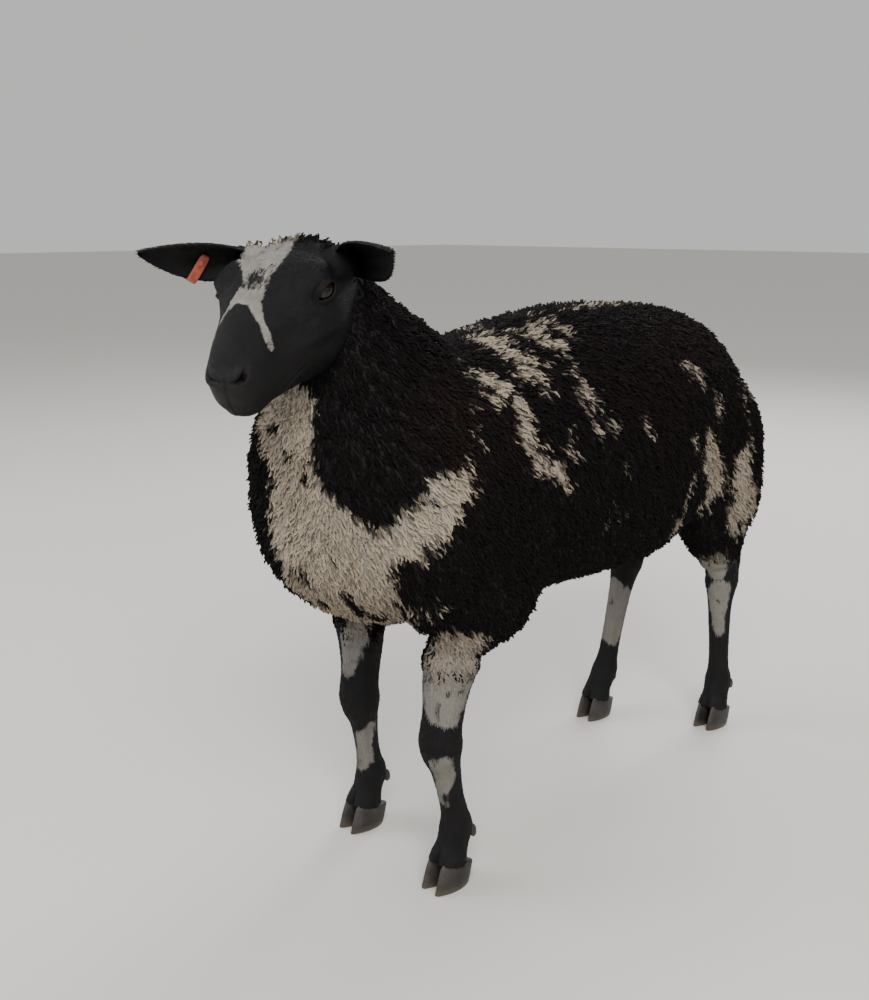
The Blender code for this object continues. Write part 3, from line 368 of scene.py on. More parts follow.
# The blaze on the forehead: how far along the head, its two edges across it, and its strength
BLAZE_ROWS = [
    (0.030, -0.050, 0.006, 0.60), (0.010, -0.060, 0.006, 0.85), (-0.010, -0.064, 0.007, 0.95),
    (-0.034, -0.052, 0.0135, 0.97), (-0.049, -0.041, 0.0155, 0.95), (-0.063, -0.030, 0.0140, 0.88),
    (-0.072, -0.0245, 0.0148, 0.70), (-0.084, -0.0182, 0.0145, 0.56), (-0.096, -0.0150, 0.0149, 0.60),
    (-0.106, -0.0140, 0.0150, 0.90), (-0.114, -0.0120, 0.0120, 0.90), (-0.117, -0.0100, 0.0100, 0.0),
]

# Marks that the far side repeats, and how far back and up each is moved there, in metres
FAR_SIDE_MARKS = {
    "saddle_a": (0.018, -0.006),
    "saddle_c": (0.030, -0.010),
    "rump_dot": (-0.020, 0.012),
    "thigh_patch": (0.030, 0.0),
    "buttock": (-0.012, 0.004),
    "flank": (0.020, 0.0),
}

# The coat's pieces in the order of their numbers, and the numbers of the skin's parts
COAT_PIECES = ["neck", "chest", "shoulders", "ribs", "loin", "rump", "haunch_left",
               "haunch_right", "tail", "forearms", "poll"]
PIECE_CODES = {name: number for number, name in enumerate(COAT_PIECES)}
PART_CODES = {"body": 0, "head": 1, "leg": 2, "ear": 3}
NO_PIECE = 90
SKIN_VALUES = ("white", "rust", "cover", "length", "bare", "short", "shade", "hair")

# Locks and tufts: what a coat is set with, how many sides, shapes and rings they have, how far
# their normals are turned to the skin's, and the size of a lock's patch in the map
COAT_MEASURES = ("Spacing", "Length", "Width", "Lay", "Stray", "Gather", "Staple", "Hollow")
LOCK_SIDES = 3
LOCK_SHAPES = 6
LOCK_RINGS = 3
HAIR_RINGS = 2
WOOL_SOFTNESS = 0.68
HAIR_SOFTNESS = 0.75
HAIR_WIDTH = 0.00042
PATCH_SIZE = 0.003
HAIR_SPACINGS = {"head": 0.0019, "leg": 0.0023, "ear": 0.0022}

# Kinds of node that are used again and again
NAMED = "GeometryNodeInputNamedAttribute"
STORE = "GeometryNodeStoreNamedAttribute"
RANDOM = "FunctionNodeRandomValue"
ALIGN = "FunctionNodeAlignRotationToVector"
ATTRIBUTE = "ShaderNodeAttribute"
BUMP = "ShaderNodeBump"
MATHS = "ShaderNodeMath"
MIX = "ShaderNodeMix"
NOISE = "ShaderNodeTexNoise"
PARTS = "ShaderNodeSeparateXYZ"
PLACE = "ShaderNodeTexCoord"
SPREAD = "ShaderNodeMapRange"
VECTORS = "ShaderNodeVectorMath"

# The camera as estimated from the photo: its place, the way it looks, its right, its lens in mm
CAMERA_PLACE = Vector((1.00434953, -1.25112275, 0.85204123))
CAMERA_AHEAD = Vector((-0.68900859, 0.68207821, -0.24502343))
CAMERA_RIGHT = Vector((0.70352361, 0.71067189, 0.0))
CAMERA_LENS = 39.6
SENSOR_WIDTH = 36.0

# The floor lies this little below the soles
FLOOR_DROP = -0.0004


def smooth_rows(rows, count):
    """Resample rows along a Catmull-Rom curve, evenly by row number."""
    points = np.array(rows, dtype=float)
    padded = np.vstack([2 * points[0] - points[1], points, 2 * points[-1] - points[-2]])
    made = []
    for t in np.linspace(0.0, len(points) - 1.0, count):
        i = min(int(t), len(points) - 2)
        f = t - i
        a, b, c, d = padded[i : i + 4]
        made.append(
            0.5 * (2 * b + (c - a) * f + (2 * a - 5 * b + 4 * c - d) * f * f
                   + (3 * b - a - 3 * c + d) * f ** 3)
        )
    return made


def part_way(value, start, span):
    """Return how far a value is along a stretch, from 0 to 1."""
    return min(max((value - start) / span, 0.0), 1.0)


def ring(centre, side, up, half, high, low, power, count):
    """Return the points of one rounded section, egg shaped when high and low differ."""
    made = []
    for k in range(count):
        turn = 2.0 * pi * k / count
        c = cos(turn)
        s = sin(turn)
        x = half * copysign(abs(c) ** (2.0 / power), c)
        z = (high if s > 0 else low) * copysign(abs(s) ** (2.0 / power), s)
        made.append(centre + side * x + up * z)
    return made


def loft(rings):
    """Return a closed bmesh through the rings, each end closed by a fan."""
    bm = bmesh.new()
    loops = [[bm.verts.new(p) for p in points] for points in rings]
    count = len(rings[0])
    for a, b in zip(loops, loops[1:]):
        for k in range(count):
            j = (k + 1) % count
            bm.faces.new((a[k], a[j], b[j], b[k]))
    for loop in (loops[0], loops[-1]):
        middle = bm.verts.new(sum((v.co for v in loop), Vector()) / count)
        for k in range(count):
            bm.faces.new((loop[k], loop[(k + 1) % count], middle))
    bmesh.ops.recalc_face_normals(bm, faces=bm.faces)
    return bm


def placed_object(name, data):
    """Make an object of some data and link it to the scene."""
    made = bpy.data.objects.new(name, data)
    bpy.context.scene.collection.objects.link(made)
    return made


def object_from(bm, name):
    """Make an object from a bmesh, facing outward, and link it to the scene."""
    if bm.calc_volume(signed=True) < 0.0:
        bmesh.ops.reverse_faces(bm, faces=bm.faces)
    mesh = bpy.data.meshes.new(name)
    bm.to_mesh(mesh)
    bm.free()
    return placed_object(name, mesh)


def drop(item):
    """Remove an object that was only needed for making another."""
    bpy.data.objects.remove(item, do_unlink=True)


def path_loft(points, turns, sizes, power, count, shape=None):
    """Loft sections across a path; the turn swings each section's side about +Z."""
    rings = []
    last = len(points) - 1
    for i, point in enumerate(points):
        along = (points[min(i + 1, last)] - points[max(i - 1, 0)]).normalized()
        side = Vector((cos(turns[i]), sin(turns[i]), 0.0))
        up = side.cross(along).normalized()
        side = along.cross(up).normalized()
        half, high, low = sizes[i]
        section = ring(point, side, up, half, high, low, power, count)
        if shape:
            section = [shape(point, side, up, p) for p in section]
        rings.append(section)
    return loft(rings)


def standing_loft(rows, inset, power, count, steps):
    """Loft upright sections from rows of y, top, widest, bottom and half width."""
    rings = []
    table = smooth_rows(rows, steps)
    table[0][0] += inset
    table[-1][0] -= inset
    for y, top, wide, bottom, half in table:
        sizes = [max(v - inset, LEAST_REACH) for v in (half, top - wide, wide - bottom)]
        centre = Vector((0.0, y, wide))
        rings.append(ring(centre, X_AXIS, Z_AXIS, *sizes, power, count))
    return loft(rings)


def trunk(inset):
    """Make the barrel of the body."""
    return object_from(standing_loft(TRUNK_ROWS, inset, power=2.25, count=56, steps=60), "trunk_form")


def neck(inset):
    """Make the neck, turning toward the animal's left as it rises."""
    table = smooth_rows(NECK_ROWS, 30)
    points = [Vector(row[0:3]) for row in table]
    turns = [radians(row[3]) for row in table]
    sizes = [[max(v - inset, LEAST_REACH) for v in row[4:7]] for row in table]
    return object_from(path_loft(points, turns, sizes, power=2.1, count=44), "neck_form")


def leg_path(name, rows, steps):
    """Return the smoothed rows of one leg and the points it runs through."""
    foot_x, foot_y = FEET[name]
    out = 1.0 if foot_x > 0 else -1.0
    table = smooth_rows(rows, steps)
    points = []
    for row in table:
        lean = LEAN[name] * part_way(row[0], LEAN_START, LEAN_SPAN)
        points.append(Vector((foot_x + out * row[2], foot_y + lean - row[1], row[0])))
    return table, points


def leg_root(name, rows, inset):
    """Make the top of a leg, where it grows out of the body under the wool."""
    table, points = leg_path(name, [row for row in rows if row[0] > 0.26], 16)
    sizes = []
    for row in table:
        share = part_way(row[0], DEPTH_START, DEPTH_SPAN)
        cover = inset * share + LEG_COVER * (1.0 - share)
        sizes.append([reach - cover for reach in row[3:6]])
    root = path_loft(points, [0.0] * len(points), sizes, power=2.0, count=32)
    return object_from(root, name + "_root")


def thigh(side, inset):
    """Make the haunch above one hind leg."""
    foot_y = FEET["hindleg_" + side][1] + LEAN["hindleg_" + side]
    out = SIGN[side]
    rings = []
    for z, ahead, width, half, back, front in smooth_rows(THIGH_ROWS, 36):
        share = part_way(z, 0.30, 0.30)
        y = foot_y * (1.0 - share) + 0.350 * share - ahead
        cover = inset * part_way(z, DEPTH_START, DEPTH_SPAN)
        centre = Vector((out * width, y, z))
        sizes = [max(v - cover, LEAST_REACH) for v in (half, back, front)]
        rings.append(ring(centre, X_AXIS, Y_AXIS, *sizes, power=2.1, count=40))
    return object_from(loft(rings), "thigh_form")


def shoulder(side, inset):
    """Make the shoulder mass over one foreleg."""
    bm = bmesh.new()
    for centre, size, tilt in SHOULDER_LOBES:
        lobe = bmesh.ops.create_icosphere(bm, subdivisions=4, radius=1.0)["verts"]
        place = Matrix.Translation((SIGN[side] * centre[0], centre[1], centre[2]))
        place = place @ Matrix.Rotation(radians(tilt), 4, "X")
        place = place @ Matrix.Diagonal([v - inset for v in size] + [1.0])
        bmesh.ops.transform(bm, matrix=place, verts=lobe)
    return object_from(bm, "shoulder_form")


def tail(inset):
    """Make the hanging tail."""
    table = smooth_rows(TAIL_ROWS, 8 * len(TAIL_ROWS))
    points = [Vector((0.0, row[0], row[1])) for row in table]
    sizes = [[max(v - inset, 0.004) for v in row[2:5]] for row in table]
    bm = path_loft(points, [0.0] * len(points), sizes, power=2.2, count=28)
    return object_from(bm, "tail_form")


def joined(objects, name):
    """Join mesh objects into one and return it."""
    bm = bmesh.new()
    for item in objects:
        bm.from_mesh(item.data)
    for item in objects:
        drop(item)
    return object_from(bm, name)


def bake(item):
    """Apply all modifiers of an object."""
    graph = bpy.context.evaluated_depsgraph_get()
    mesh = bpy.data.meshes.new_from_object(item.evaluated_get(graph))
    item.modifiers.clear()
    item.data = mesh
    return item


def blend(item, voxel):
    """Fuse overlapping shells into one skin."""
    step = item.modifiers.new("fuse", "REMESH")
    step.mode = "VOXEL"
    step.voxel_size = voxel
    return bake(item)


def combine(item, bm, operation):
    """Apply one Boolean operation with a shape that is then removed."""
    other = object_from(bm, "cutting_form")
    step = item.modifiers.new("combine", "BOOLEAN")
    step.operation = operation
    step.solver = "EXACT"
    step.object = other
    bake(item)
    drop(other)
    return item


def points_of(mesh):
    """Return a mesh's vertex places as rows of three numbers."""
    co = np.empty(len(mesh.vertices) * 3)
    mesh.vertices.foreach_get("co", co)
    return co.reshape(-1, 3)


def normals_of(mesh):
    """Return a mesh's vertex normals as rows of three numbers."""
    made = np.empty(len(mesh.vertices) * 3, np.float32)
    mesh.vertices.foreach_get("normal", made)
    return made.reshape(-1, 3).astype(float)


def corners_of(mesh):
    """Return the vertex that each corner of a mesh stands on."""
    made = np.empty(len(mesh.loops), np.int32)
    mesh.loops.foreach_get("vertex_index", made)
    return made


def set_points(mesh, co):
    """Give a mesh new vertex places."""
    mesh.vertices.foreach_set("co", np.asarray(co, np.float32).ravel())
    mesh.update()


def relax(item, passes, weight_of):
    """Smooth the skin where the weight function says so."""
    mesh = item.data
    co = points_of(mesh)
    count = len(co)
    edges = np.empty(len(mesh.edges) * 2, dtype=np.int64)
    mesh.edges.foreach_get("vertices", edges)
    edges = edges.reshape(-1, 2)
    degree = np.bincount(edges.ravel(), minlength=count).astype(float)[:, None]
    weight = weight_of(co)[:, None]
    for _ in range(passes):
        total = np.zeros_like(co)
        for axis in range(3):
            total[:, axis] = np.bincount(edges[:, 0], co[edges[:, 1], axis], count)
            total[:, axis] += np.bincount(edges[:, 1], co[edges[:, 0], axis], count)
        co += weight * 0.6 * (total / degree - co)
    set_points(mesh, co)
    return item


def clipped(value):
    """Return values held between 0 and 1."""
    return np.clip(value, 0.0, 1.0)


def ramp(value, low, high):
    """Return 0 at low, 1 at high and a smooth rise between."""
    t = clipped((value - low) / (high - low))
    return t * t * (3.0 - 2.0 * t)


def near(co, point, radius):
    """Return 1 near a point, falling to 0 at the radius."""
    distance = np.linalg.norm(co - np.array(point), axis=1)
    return clipped(1.5 - 1.5 * distance / radius)


def blend_weight(co):
    """Say where the shells of the body meet and want a softer join."""
    weight = np.full(len(co), 0.06)
    for x, y, z, radius in SOFT_JOINS:
        for side in (-1.0, 1.0):
            weight = np.maximum(weight, near(co, (side * x, y, z), radius))
    return weight


def body_skin():
    """Make the skin of trunk, neck, haunches and tail, as deep under the forms as the fleece."""
    shells = [trunk(SKIN_DEPTH), neck(SKIN_DEPTH), tail(SKIN_DEPTH * 0.8)]
    for side in ("left", "right"):
        shells.append(shoulder(side, SKIN_DEPTH))
        shells.append(thigh(side, SKIN_DEPTH))
        for kind, rows in LEG_ROWS.items():
            shells.append(leg_root(kind + "_" + side, rows, SKIN_DEPTH))
    whole = blend(joined(shells, "body_skin"), BODY_CELL)
    return relax(whole, 20, blend_weight)


def leg_shape(kind):
    """Return the function that draws tendons and joints into a leg's sections."""
    def shape(point, side, up, p):
        across = (p - point).dot(side)
        ahead = (p - point).dot(up)
        shank = exp(-(((point.z - 0.135) / 0.040) ** 4))
        waist = 0.20 * shank * exp(-(((ahead + 0.004) / 0.006) ** 2))
        boss = 0.10 * exp(-(((point.z - JOINT_HEIGHTS[kind]) / 0.012) ** 2))
        boss *= exp(-(((abs(across) - 0.018) / 0.008) ** 2))
        cleft = 0.35 * exp(-(((point.z - 0.030) / 0.014) ** 2))
        cleft *= exp(-((across / 0.004) ** 2))
        return point + side * across * (1.0 - waist + boss) + up * ahead * (1.0 - cleft + boss * 0.5)

    return shape


def leg_skin(name):
    """Make one fine leg from under the wool down to the crown of the hoof."""
    kind = name.split("_")[0]
    rows = [row for row in LEG_ROWS[kind] if row[0] < 0.39]
    table, points = leg_path(name, rows, 110)
    sizes = []
    for row in table:
        cover = (SKIN_DEPTH + 0.004) * part_way(row[0], 0.318, 0.03)
        sizes.append([reach - cover for reach in row[3:6]])
    turns = [0.0] * len(points)
    bm = path_loft(points, turns, sizes, power=2.0, count=44, shape=leg_shape(kind))
    cut = Vector((*FEET[name], HOOF_HEIGHT - 0.003))
    slope = Vector((0.0, HOOF_SLOPE, 1.0)).normalized()
    geometry = bm.verts[:] + bm.edges[:] + bm.faces[:]
    found = bmesh.ops.bisect_plane(bm, geom=geometry, plane_co=cut, plane_no=slope, clear_inner=True)
    edges = [e for e in found["geom_cut"] if isinstance(e, bmesh.types.BMEdge)]
    bmesh.ops.contextual_create(bm, geom=edges)
    return object_from(bm, name + "_skin")


def head_matrix():
    """Return the placing of the head's own frame."""
    turn = Matrix.Rotation(HEAD_YAW, 4, "Z") @ Matrix.Rotation(HEAD_PITCH, 4, "X")
    return Matrix.Translation(POLL) @ turn


def eye_matrix(side):
    """Return the placing of one eye, its +X looking out of the socket."""
    place = Matrix.Translation((side * EYE_PLACE.x, EYE_PLACE.y, EYE_PLACE.z))
    aim = Vector((side * 0.90, -0.38, 0.10)).to_track_quat("X", "Z")
    return head_matrix() @ place @ aim.to_matrix().to_4x4()


def ball(size, segments, rings):
    """Return a sphere stretched to three half sizes."""
    bm = bmesh.new()
    bmesh.ops.create_uvsphere(bm, u_segments=segments, v_segments=rings, radius=1.0)
    bm.transform(Matrix.Diagonal((size[0], size[1], size[2], 1.0)))
    return bm


def lobe(centre, size):
    """Return one rounded lobe of the skull, placed in the head's own frame."""
    bm = ball(size, 36, 24)
    bm.transform(Matrix.Translation(centre))
    return object_from(bm, "lobe")


def lid_opening():
    """Return the almond-shaped shape that parts the lids."""
    rings = []
    for x, grow in ((0.002, 0.90), (0.012, 1.0), (0.030, 1.25)):
        points = []
        for k in range(40):
            turn = 2.0 * pi * k / 40
            y = cos(turn) * 0.0136 * grow
            lift = 0.0064 if sin(turn) > 0 else 0.0050
            z = copysign(abs(sin(turn)) ** 1.35, sin(turn)) * lift * grow
            points.append(Vector((x, y, z + 0.16 * y - 0.0004)))
        rings.append(points)
    return loft(rings)


def mouth_offset(co):
    """Return how far points of the head lie above the line of the mouth, and how far round they are."""
    across, along, height = co.T
    ahead = -(along + 0.135)
    turn = np.arctan2(across, ahead)
    reach = np.hypot(across, ahead)
    line = -0.040 + reach * (-0.10 - 0.05 * np.cos(turn))
    line = line + 0.004 * clipped(np.abs(turn) - 1.4)
    return height - line, turn


def mouth_ends(turn, corner):
    """Return 1 along the mouth, falling to 0 at its corners, given in degrees round the muzzle."""
    return clipped((radians(corner) - np.abs(turn)) / radians(16.0))


def bump(value, width):
    """Return 1 at zero, falling smoothly to 0 past the width."""
    return np.exp(-((value / width) ** 2))


def nostril_frame(co, side):
    """Return points in one nostril's axes: along the slit, off its curved middle line and in depth."""
    way = Vector((side * 0.62, -1.0, 0.16)).normalized()
    across = Vector((side * 0.78, 0.45, 0.42))
    across = (across - way * across.dot(way)).normalized()
    rise = way.cross(across) * side
    rise = -rise if rise.z < 0 else rise
    rel = co - np.array((side * NOSTRIL.x, NOSTRIL.y, NOSTRIL.z))
    along = rel @ np.array(across)
    return along, rel @ np.array(rise) - 24.0 * along * along + 0.0012, rel @ np.array(way)


def nostril_depth(co, side):
    """Return how far inside one comma-shaped nostril each point of the head is."""
    u, bend, w = nostril_frame(co, side)
    front = (np.abs(w) < 0.014) & (u > -0.0135) & (u < 0.016)
    return bump(bend, 0.0021 + 0.0013 * np.clip(u / 0.008, -0.7, 1.0)) * bump(u - 0.001, 0.0082) * front


def in_axes(co, placing):
    """Return points in the axes of a placing."""
    back = np.array(placing.inverted())
    return co @ back[:3, :3].T + back[:3, 3]


def sculpt_face(mesh):
    """Press mouth, nostrils, lids' folds and the bones of the face into the skin."""
    co = points_of(mesh)
    x, y, z = co.T
    normal = normals_of(mesh)
    above, turn = mouth_offset(co)
    muzzle = clipped((-0.095 - y) / 0.02)
    ends = mouth_ends(turn, 116.0)
    low = (z < 0.0).astype(float)
    slit = -0.0030 * bump(above, 0.0013) * ends * low
    push = slit * clipped((-0.085 - y) / 0.02)
    push += 0.0011 * (bump(above - 0.0046, 0.0030) + bump(above + 0.0042, 0.0026)) * ends * low * muzzle
    # the groove from the nose down to the lip
    groove = bump(x, 0.0011) * clipped((-0.184 - y) / 0.006)
    groove = 0.0012 * groove * clipped((above - 0.001) / 0.004)
    push -= groove * clipped((0.010 - z) / 0.01)
    for side in (-1.0, 1.0):
        u, bend, w = nostril_frame(co, side)
        front = (np.abs(w) < 0.014) & (np.abs(u) < 0.026)
        push -= 0.0085 * nostril_depth(co, side)
        push += 0.0010 * bump(bend - 0.0060, 0.0030) * bump(u - 0.002, 0.010) * front
        push += 0.0016 * bump(bend + 0.0054, 0.0028) * bump(u - 0.002, 0.009) * front
        local = in_axes(co, head_matrix().inverted() @ eye_matrix(side))
        out = local[:, 0] > 0.0
        far = np.hypot(local[:, 1], local[:, 2] * 1.35)
        push += 0.0009 * bump(far - 0.0215, 0.0028) * out * (local[:, 2] > -0.004)
        push -= 0.0012 * bump(far - 0.0172, 0.0017) * out
        # the tear pit ahead of the eye and the ridge of the cheek under it
        pit = co - np.array((side * 0.052, -0.090, 0.004))
        push -= 0.0022 * bump(np.linalg.norm(pit * (1.0, 0.6, 1.0), axis=1), 0.0065)
        reach = x * side
        crest = z + 0.020 + 0.18 * (y + 0.09)
        push += 0.0022 * bump(crest, 0.007) * bump(y + 0.095, 0.028) * (reach > 0.02)
        hollow = bump(z - 0.008, 0.012)
        push -= 0.0022 * hollow * bump(y + 0.128, 0.024) * (reach > 0.01)
        jaw = z + 0.070 + 0.30 * (y + 0.06)
        push -= 0.0025 * bump(jaw - 0.030, 0.012) * bump(y + 0.075, 0.028) * (reach > 0.02)
    set_points(mesh, co + normal * push[:, None])


def head_skin():
    """Make the head with brows, cheeks, lids, lips and nostrils as one fine skin."""
    bones = standing_loft(HEAD_ROWS, 0.0, power=2.3, count=64, steps=70)
    shells = [object_from(bones, "head_form")]
    for side in (-1.0, 1.0):
        for x, y, z, *size in SKULL_LOBES:
            shells.append(lobe((side * x, y, z), size))
    for x, y, z, *size in MIDDLE_LOBES:
        shells.append(lobe((x, y, z), size))
    skull = relax(blend(joined(shells, "head_skin"), BONE_CELL), 12, lambda co: np.full(len(co), 0.8))
    to_head = head_matrix().inverted()
    for side in (-1.0, 1.0):
        place = to_head @ eye_matrix(side)
        reach = EYE_RADIUS + LID_THICKNESS
        rim = ball((reach, reach * 1.16, reach), 32, 20)
        rim.transform(place)
        combine(skull, rim, "UNION")
    skull = relax(blend(skull, RIM_CELL), 5, lambda co: np.full(len(co), 0.6))
    for side in (-1.0, 1.0):
        place = to_head @ eye_matrix(side)
        hollow = ball((EYE_RADIUS + 0.0003,) * 3, 40, 28)
        hollow.transform(place)
        combine(skull, hollow, "DIFFERENCE")
        opening = lid_opening()
        opening.transform(place)
        combine(skull, opening, "DIFFERENCE")
    skull = relax(blend(skull, LID_CELL), 2, lambda co: np.full(len(co), 0.5))
    sculpt_face(skull.data)
    skull.data.transform(head_matrix())
    return skull


def ear_matrix(side):
    """Return the placing of one ear: +X runs to its tip, +Z faces out of the cup."""
    yaw = Matrix.Rotation(HEAD_YAW, 4, "Z").to_3x3()
    along = Vector((side * cos(EAR_SWEEP), -sin(EAR_SWEEP), tan(EAR_RISE)))
    along = (yaw @ along).normalized()
    open_way = yaw @ Vector((side * 0.30, -0.88, -0.30))
    open_way = (open_way - along * open_way.dot(along)).normalized()
    across = open_way.cross(along)
    turn = Matrix((along, across, open_way)).transposed().to_4x4()
    root = head_matrix() @ Vector((side * EAR_ROOT[0], EAR_ROOT[1], EAR_ROOT[2] + side * 0.0020))
    return Matrix.Translation(root) @ turn


def ear_section(t):
    """Return the half width, cup depth and wall of the ear at a share of its length."""
    width = EAR_HALF_WIDTH * (sin(pi * min(t * 0.78 + 0.22, 1.0)) ** 0.8 + 0.05)
    width = max(width * (1.0 - 0.15 * t), 0.0016)
    cup = 0.016 * (1.0 - t) ** 0.7 + 0.003
    return width, cup, EAR_THICKNESS * (1.0 - 0.45 * t)


def ear_skin(side):
    """Make one cupped, pointed ear with rolled edges, its root gathered into the head."""
    rings = []
    for step in range(46):
        t = -0.16 + 1.16 * step / 45
        width, cup, wall = ear_section(max(t, 0.0))
        if t < 0.0:
            gather = 1.0 - 0.45 * (t / 0.16) ** 2
            width, cup, wall = width * gather, cup * 1.1, wall + 0.002
        along = EAR_LENGTH * t
        # the upper edge is nearly straight and the lower one full
        bow = -side * EAR_BOW * sin(pi * max(t, 0.0))
        points = []
        for k in range(21):
            v = -1.0 + 2.0 * k / 20
            fold = 0.0008 * sin(v * 9.0) * (1.0 - v * v) * max(1.0 - t, 0.0)
            depth = -cup * (1.0 - v * v) - wall * (1 - 0.55 * v * v)
            points.append(Vector((along, v * width + bow, depth)))
            points[-1].z += fold * 0.4
        for k in range(21):
            v = 1.0 - 2.0 * k / 20
            fold = 0.0012 * sin(v * 9.0) * (1.0 - v * v) * max(1.0 - t, 0.0)
            points.append(Vector((along, v * width * 0.955 + bow, -cup * (1.0 - v * v) + fold)))
        rings.append(points)
    bm = loft(rings)
    bm.transform(ear_matrix(side))
    return object_from(bm, "ear_skin")


def grain(co):
    """Return smooth noise from 0 to 1, its cells one unit apart."""
    base = np.floor(co)
    part = co - base
    part = part * part * (3.0 - 2.0 * part)
    base = base.astype(np.int64)
    total = np.zeros(len(co))
    for corner in range(8):
        step = np.array([corner & 1, corner >> 1 & 1, corner >> 2 & 1])
        key = (base + step) @ np.array([73856093, 19349663, 83492791])
        key = (key ^ (key >> 13)) * 1274126177
        value = ((key ^ (key >> 16)) & 0xFFFF) / 65535.0
        total += value * np.prod(np.where(step, part, 1.0 - part), axis=1)
    return total


def ragged(co, size):
    """Shift points a little along slow waves, so that borders come out ragged."""
    shift = np.zeros_like(co)
    for axis in range(3):
        for reach, strength in ((0.035, 1.1), (0.012, 0.7), (0.005, 0.45)):
            shift[:, axis] += strength * (grain(co / reach + 17.3 * axis + 5.1) - 0.5)
    return co + shift * size


def lines_of(marks, units):
    """Return marks as pairs of their strength and their line in metres."""
    return [(strength, np.array(line) / units) for strength, line in marks.values()]


def all_marks():
    """Return every mark of the body as its strength and its line, the far side's ones among them."""
    made = lines_of(MARKS, MARK_UNITS)
    for name, (back, up) in FAR_SIDE_MARKS.items():
        (strength, line), = lines_of({name: MARKS[name]}, MARK_UNITS)
        made.append((strength, line * (-1.0, 1.0, 1.0, 1.0) + (0.0, back, up, 0.0)))
    return made


def white_share(co, marks, soft, wander, only_dark=False):
    """Return how white the coat is at each point, from 0 to 1."""
    places = ragged(co, wander)
    share = np.zeros(len(co))
    dark = np.zeros(len(co))
    for strength, line in marks:
        inside = np.full(len(co), -1.0)
        for a, b in zip(line, line[1:]):
            way = b[:3] - a[:3]
            t = clipped((places - a[:3]) @ way / max(way @ way, 1e-9))
            gap = np.linalg.norm(places - a[:3] - t[:, None] * way, axis=1)
            inside = np.maximum(inside, a[3] + t * (b[3] - a[3]) - gap)
        level = clipped(0.5 + inside / (2.0 * soft))
        if strength > 0:
            share = np.maximum(share, level * strength)
        else:
            dark = np.maximum(dark, level * -strength)
    return -dark if only_dark else share * (1.0 - dark)


def blaze(local):
    """Return how white the forehead's blaze is, between its two edges."""
    rows = np.array(BLAZE_ROWS[::-1])
    places = ragged(local, 0.0055)
    left, right, level = (np.interp(places[:, 1], rows[:, 0], rows[:, k]) for k in (1, 2, 3))
    inside = np.minimum(places[:, 0] - left, right - places[:, 0])
    return ramp(inside, -0.0042, 0.0060) * level * (local[:, 2] > 0.0)


def streaks(places, coarse, fine):
    """Return noise from 0 to 1, drawn out by two sets of scales."""
    return grain(places * coarse) * 0.6 + grain(places * fine) * 0.4


def part_white(co, part):
    """Return how white one part of the sheep is, streaked along the lie of its coat."""
    if part == "ear":
        return np.zeros(len(co))
    if part in ("head", "poll"):
        local = head_places(co)
        lines = lines_of(HEAD_MARKS, HEAD_MARK_UNITS)
        dark = [mark for mark in lines if mark[0] < 0.0]
        marks = [mark for mark in lines if mark[0] > 0.0]
        share = blaze(local) * (1.0 + white_share(local, dark, 0.0050, 0.0045, True))
        share = np.maximum(share, white_share(local, marks, 0.0024, 0.0030))
        # wool behind the poll is grey, white and black mixed
        share *= 1.0 - 0.45 * ramp(local[:, 1], -0.004, 0.012)
        share *= 1.0 - 0.35 * ramp(grain(local * (150.0, 70.0, 100.0) + 2.0), 0.55, 0.80)
        streak = streaks(local, (520.0, 150.0, 360.0), (1250.0, 380.0, 900.0))
        return clipped(share + 0.70 * (streak - 0.5) * (share > 0.02))
    soft, wander = (0.0120, 0.0125) if part == "body" else (0.0050, 0.0080)
    share = white_share(co, all_marks(), soft, wander)
    if part == "leg":
        streak = streaks(co, (330.0, 330.0, 85.0), (800.0, 800.0, 220.0))
        share *= 1.0 - 0.45 * ramp(grain(co * (95.0, 95.0, 60.0) + 3.0), 0.60, 0.80)
        return clipped(share + 0.55 * (streak - 0.5) * (share > 0.02))
    along = 0.48 * co[:, 1] - 0.87 * co[:, 2]
    across = 0.87 * co[:, 1] + 0.48 * co[:, 2]
    drawn = np.stack([co[:, 0], across, along], 1)
    streak = streaks(drawn, (105.0, 105.0, 24.0), (250.0, 250.0, 80.0))
    share *= 1.0 - 0.55 * ramp(grain(co * 42.0 + 9.0), 0.66, 0.86)
    return clipped(share + 1.15 * (streak - 0.52) * (share > 0.02))


def rust_share(co):
    """Return how sun-browned the black wool is."""
    share = 0.95 * near(co, (0.145, -0.345, 0.615), 0.105)
    share = share + 0.6 * near(co, (-0.145, -0.345, 0.615), 0.105)
    share += 0.50 * near(co, (0.12, 0.05, 0.66), 0.20) + 0.45 * near(co, (-0.02, 0.27, 0.66), 0.20)
    return clipped(share)


def put_attribute(mesh, name, values, kind="FLOAT", domain="POINT"):
    """Store one value a point, or a face, under a name."""
    made = mesh.attributes.get(name) or mesh.attributes.new(name, kind, domain)
    key = "vector" if kind in ("FLOAT_VECTOR", "FLOAT2") else "value"
    made.data.foreach_set(key, np.asarray(values).ravel())


def get_attribute(mesh, name, width=1):
    """Return a stored attribute as an array."""
    source = mesh.attributes[name]
    kind = np.int32 if source.data_type == "INT" else np.float32
    made = np.empty(len(source.data) * width, kind)
    source.data.foreach_get("vector" if width > 1 else "value", made)
    return made.reshape(-1, width) if width > 1 else made


def head_places(co):
    """Return points in the head's own frame."""
    return in_axes(co, head_matrix())


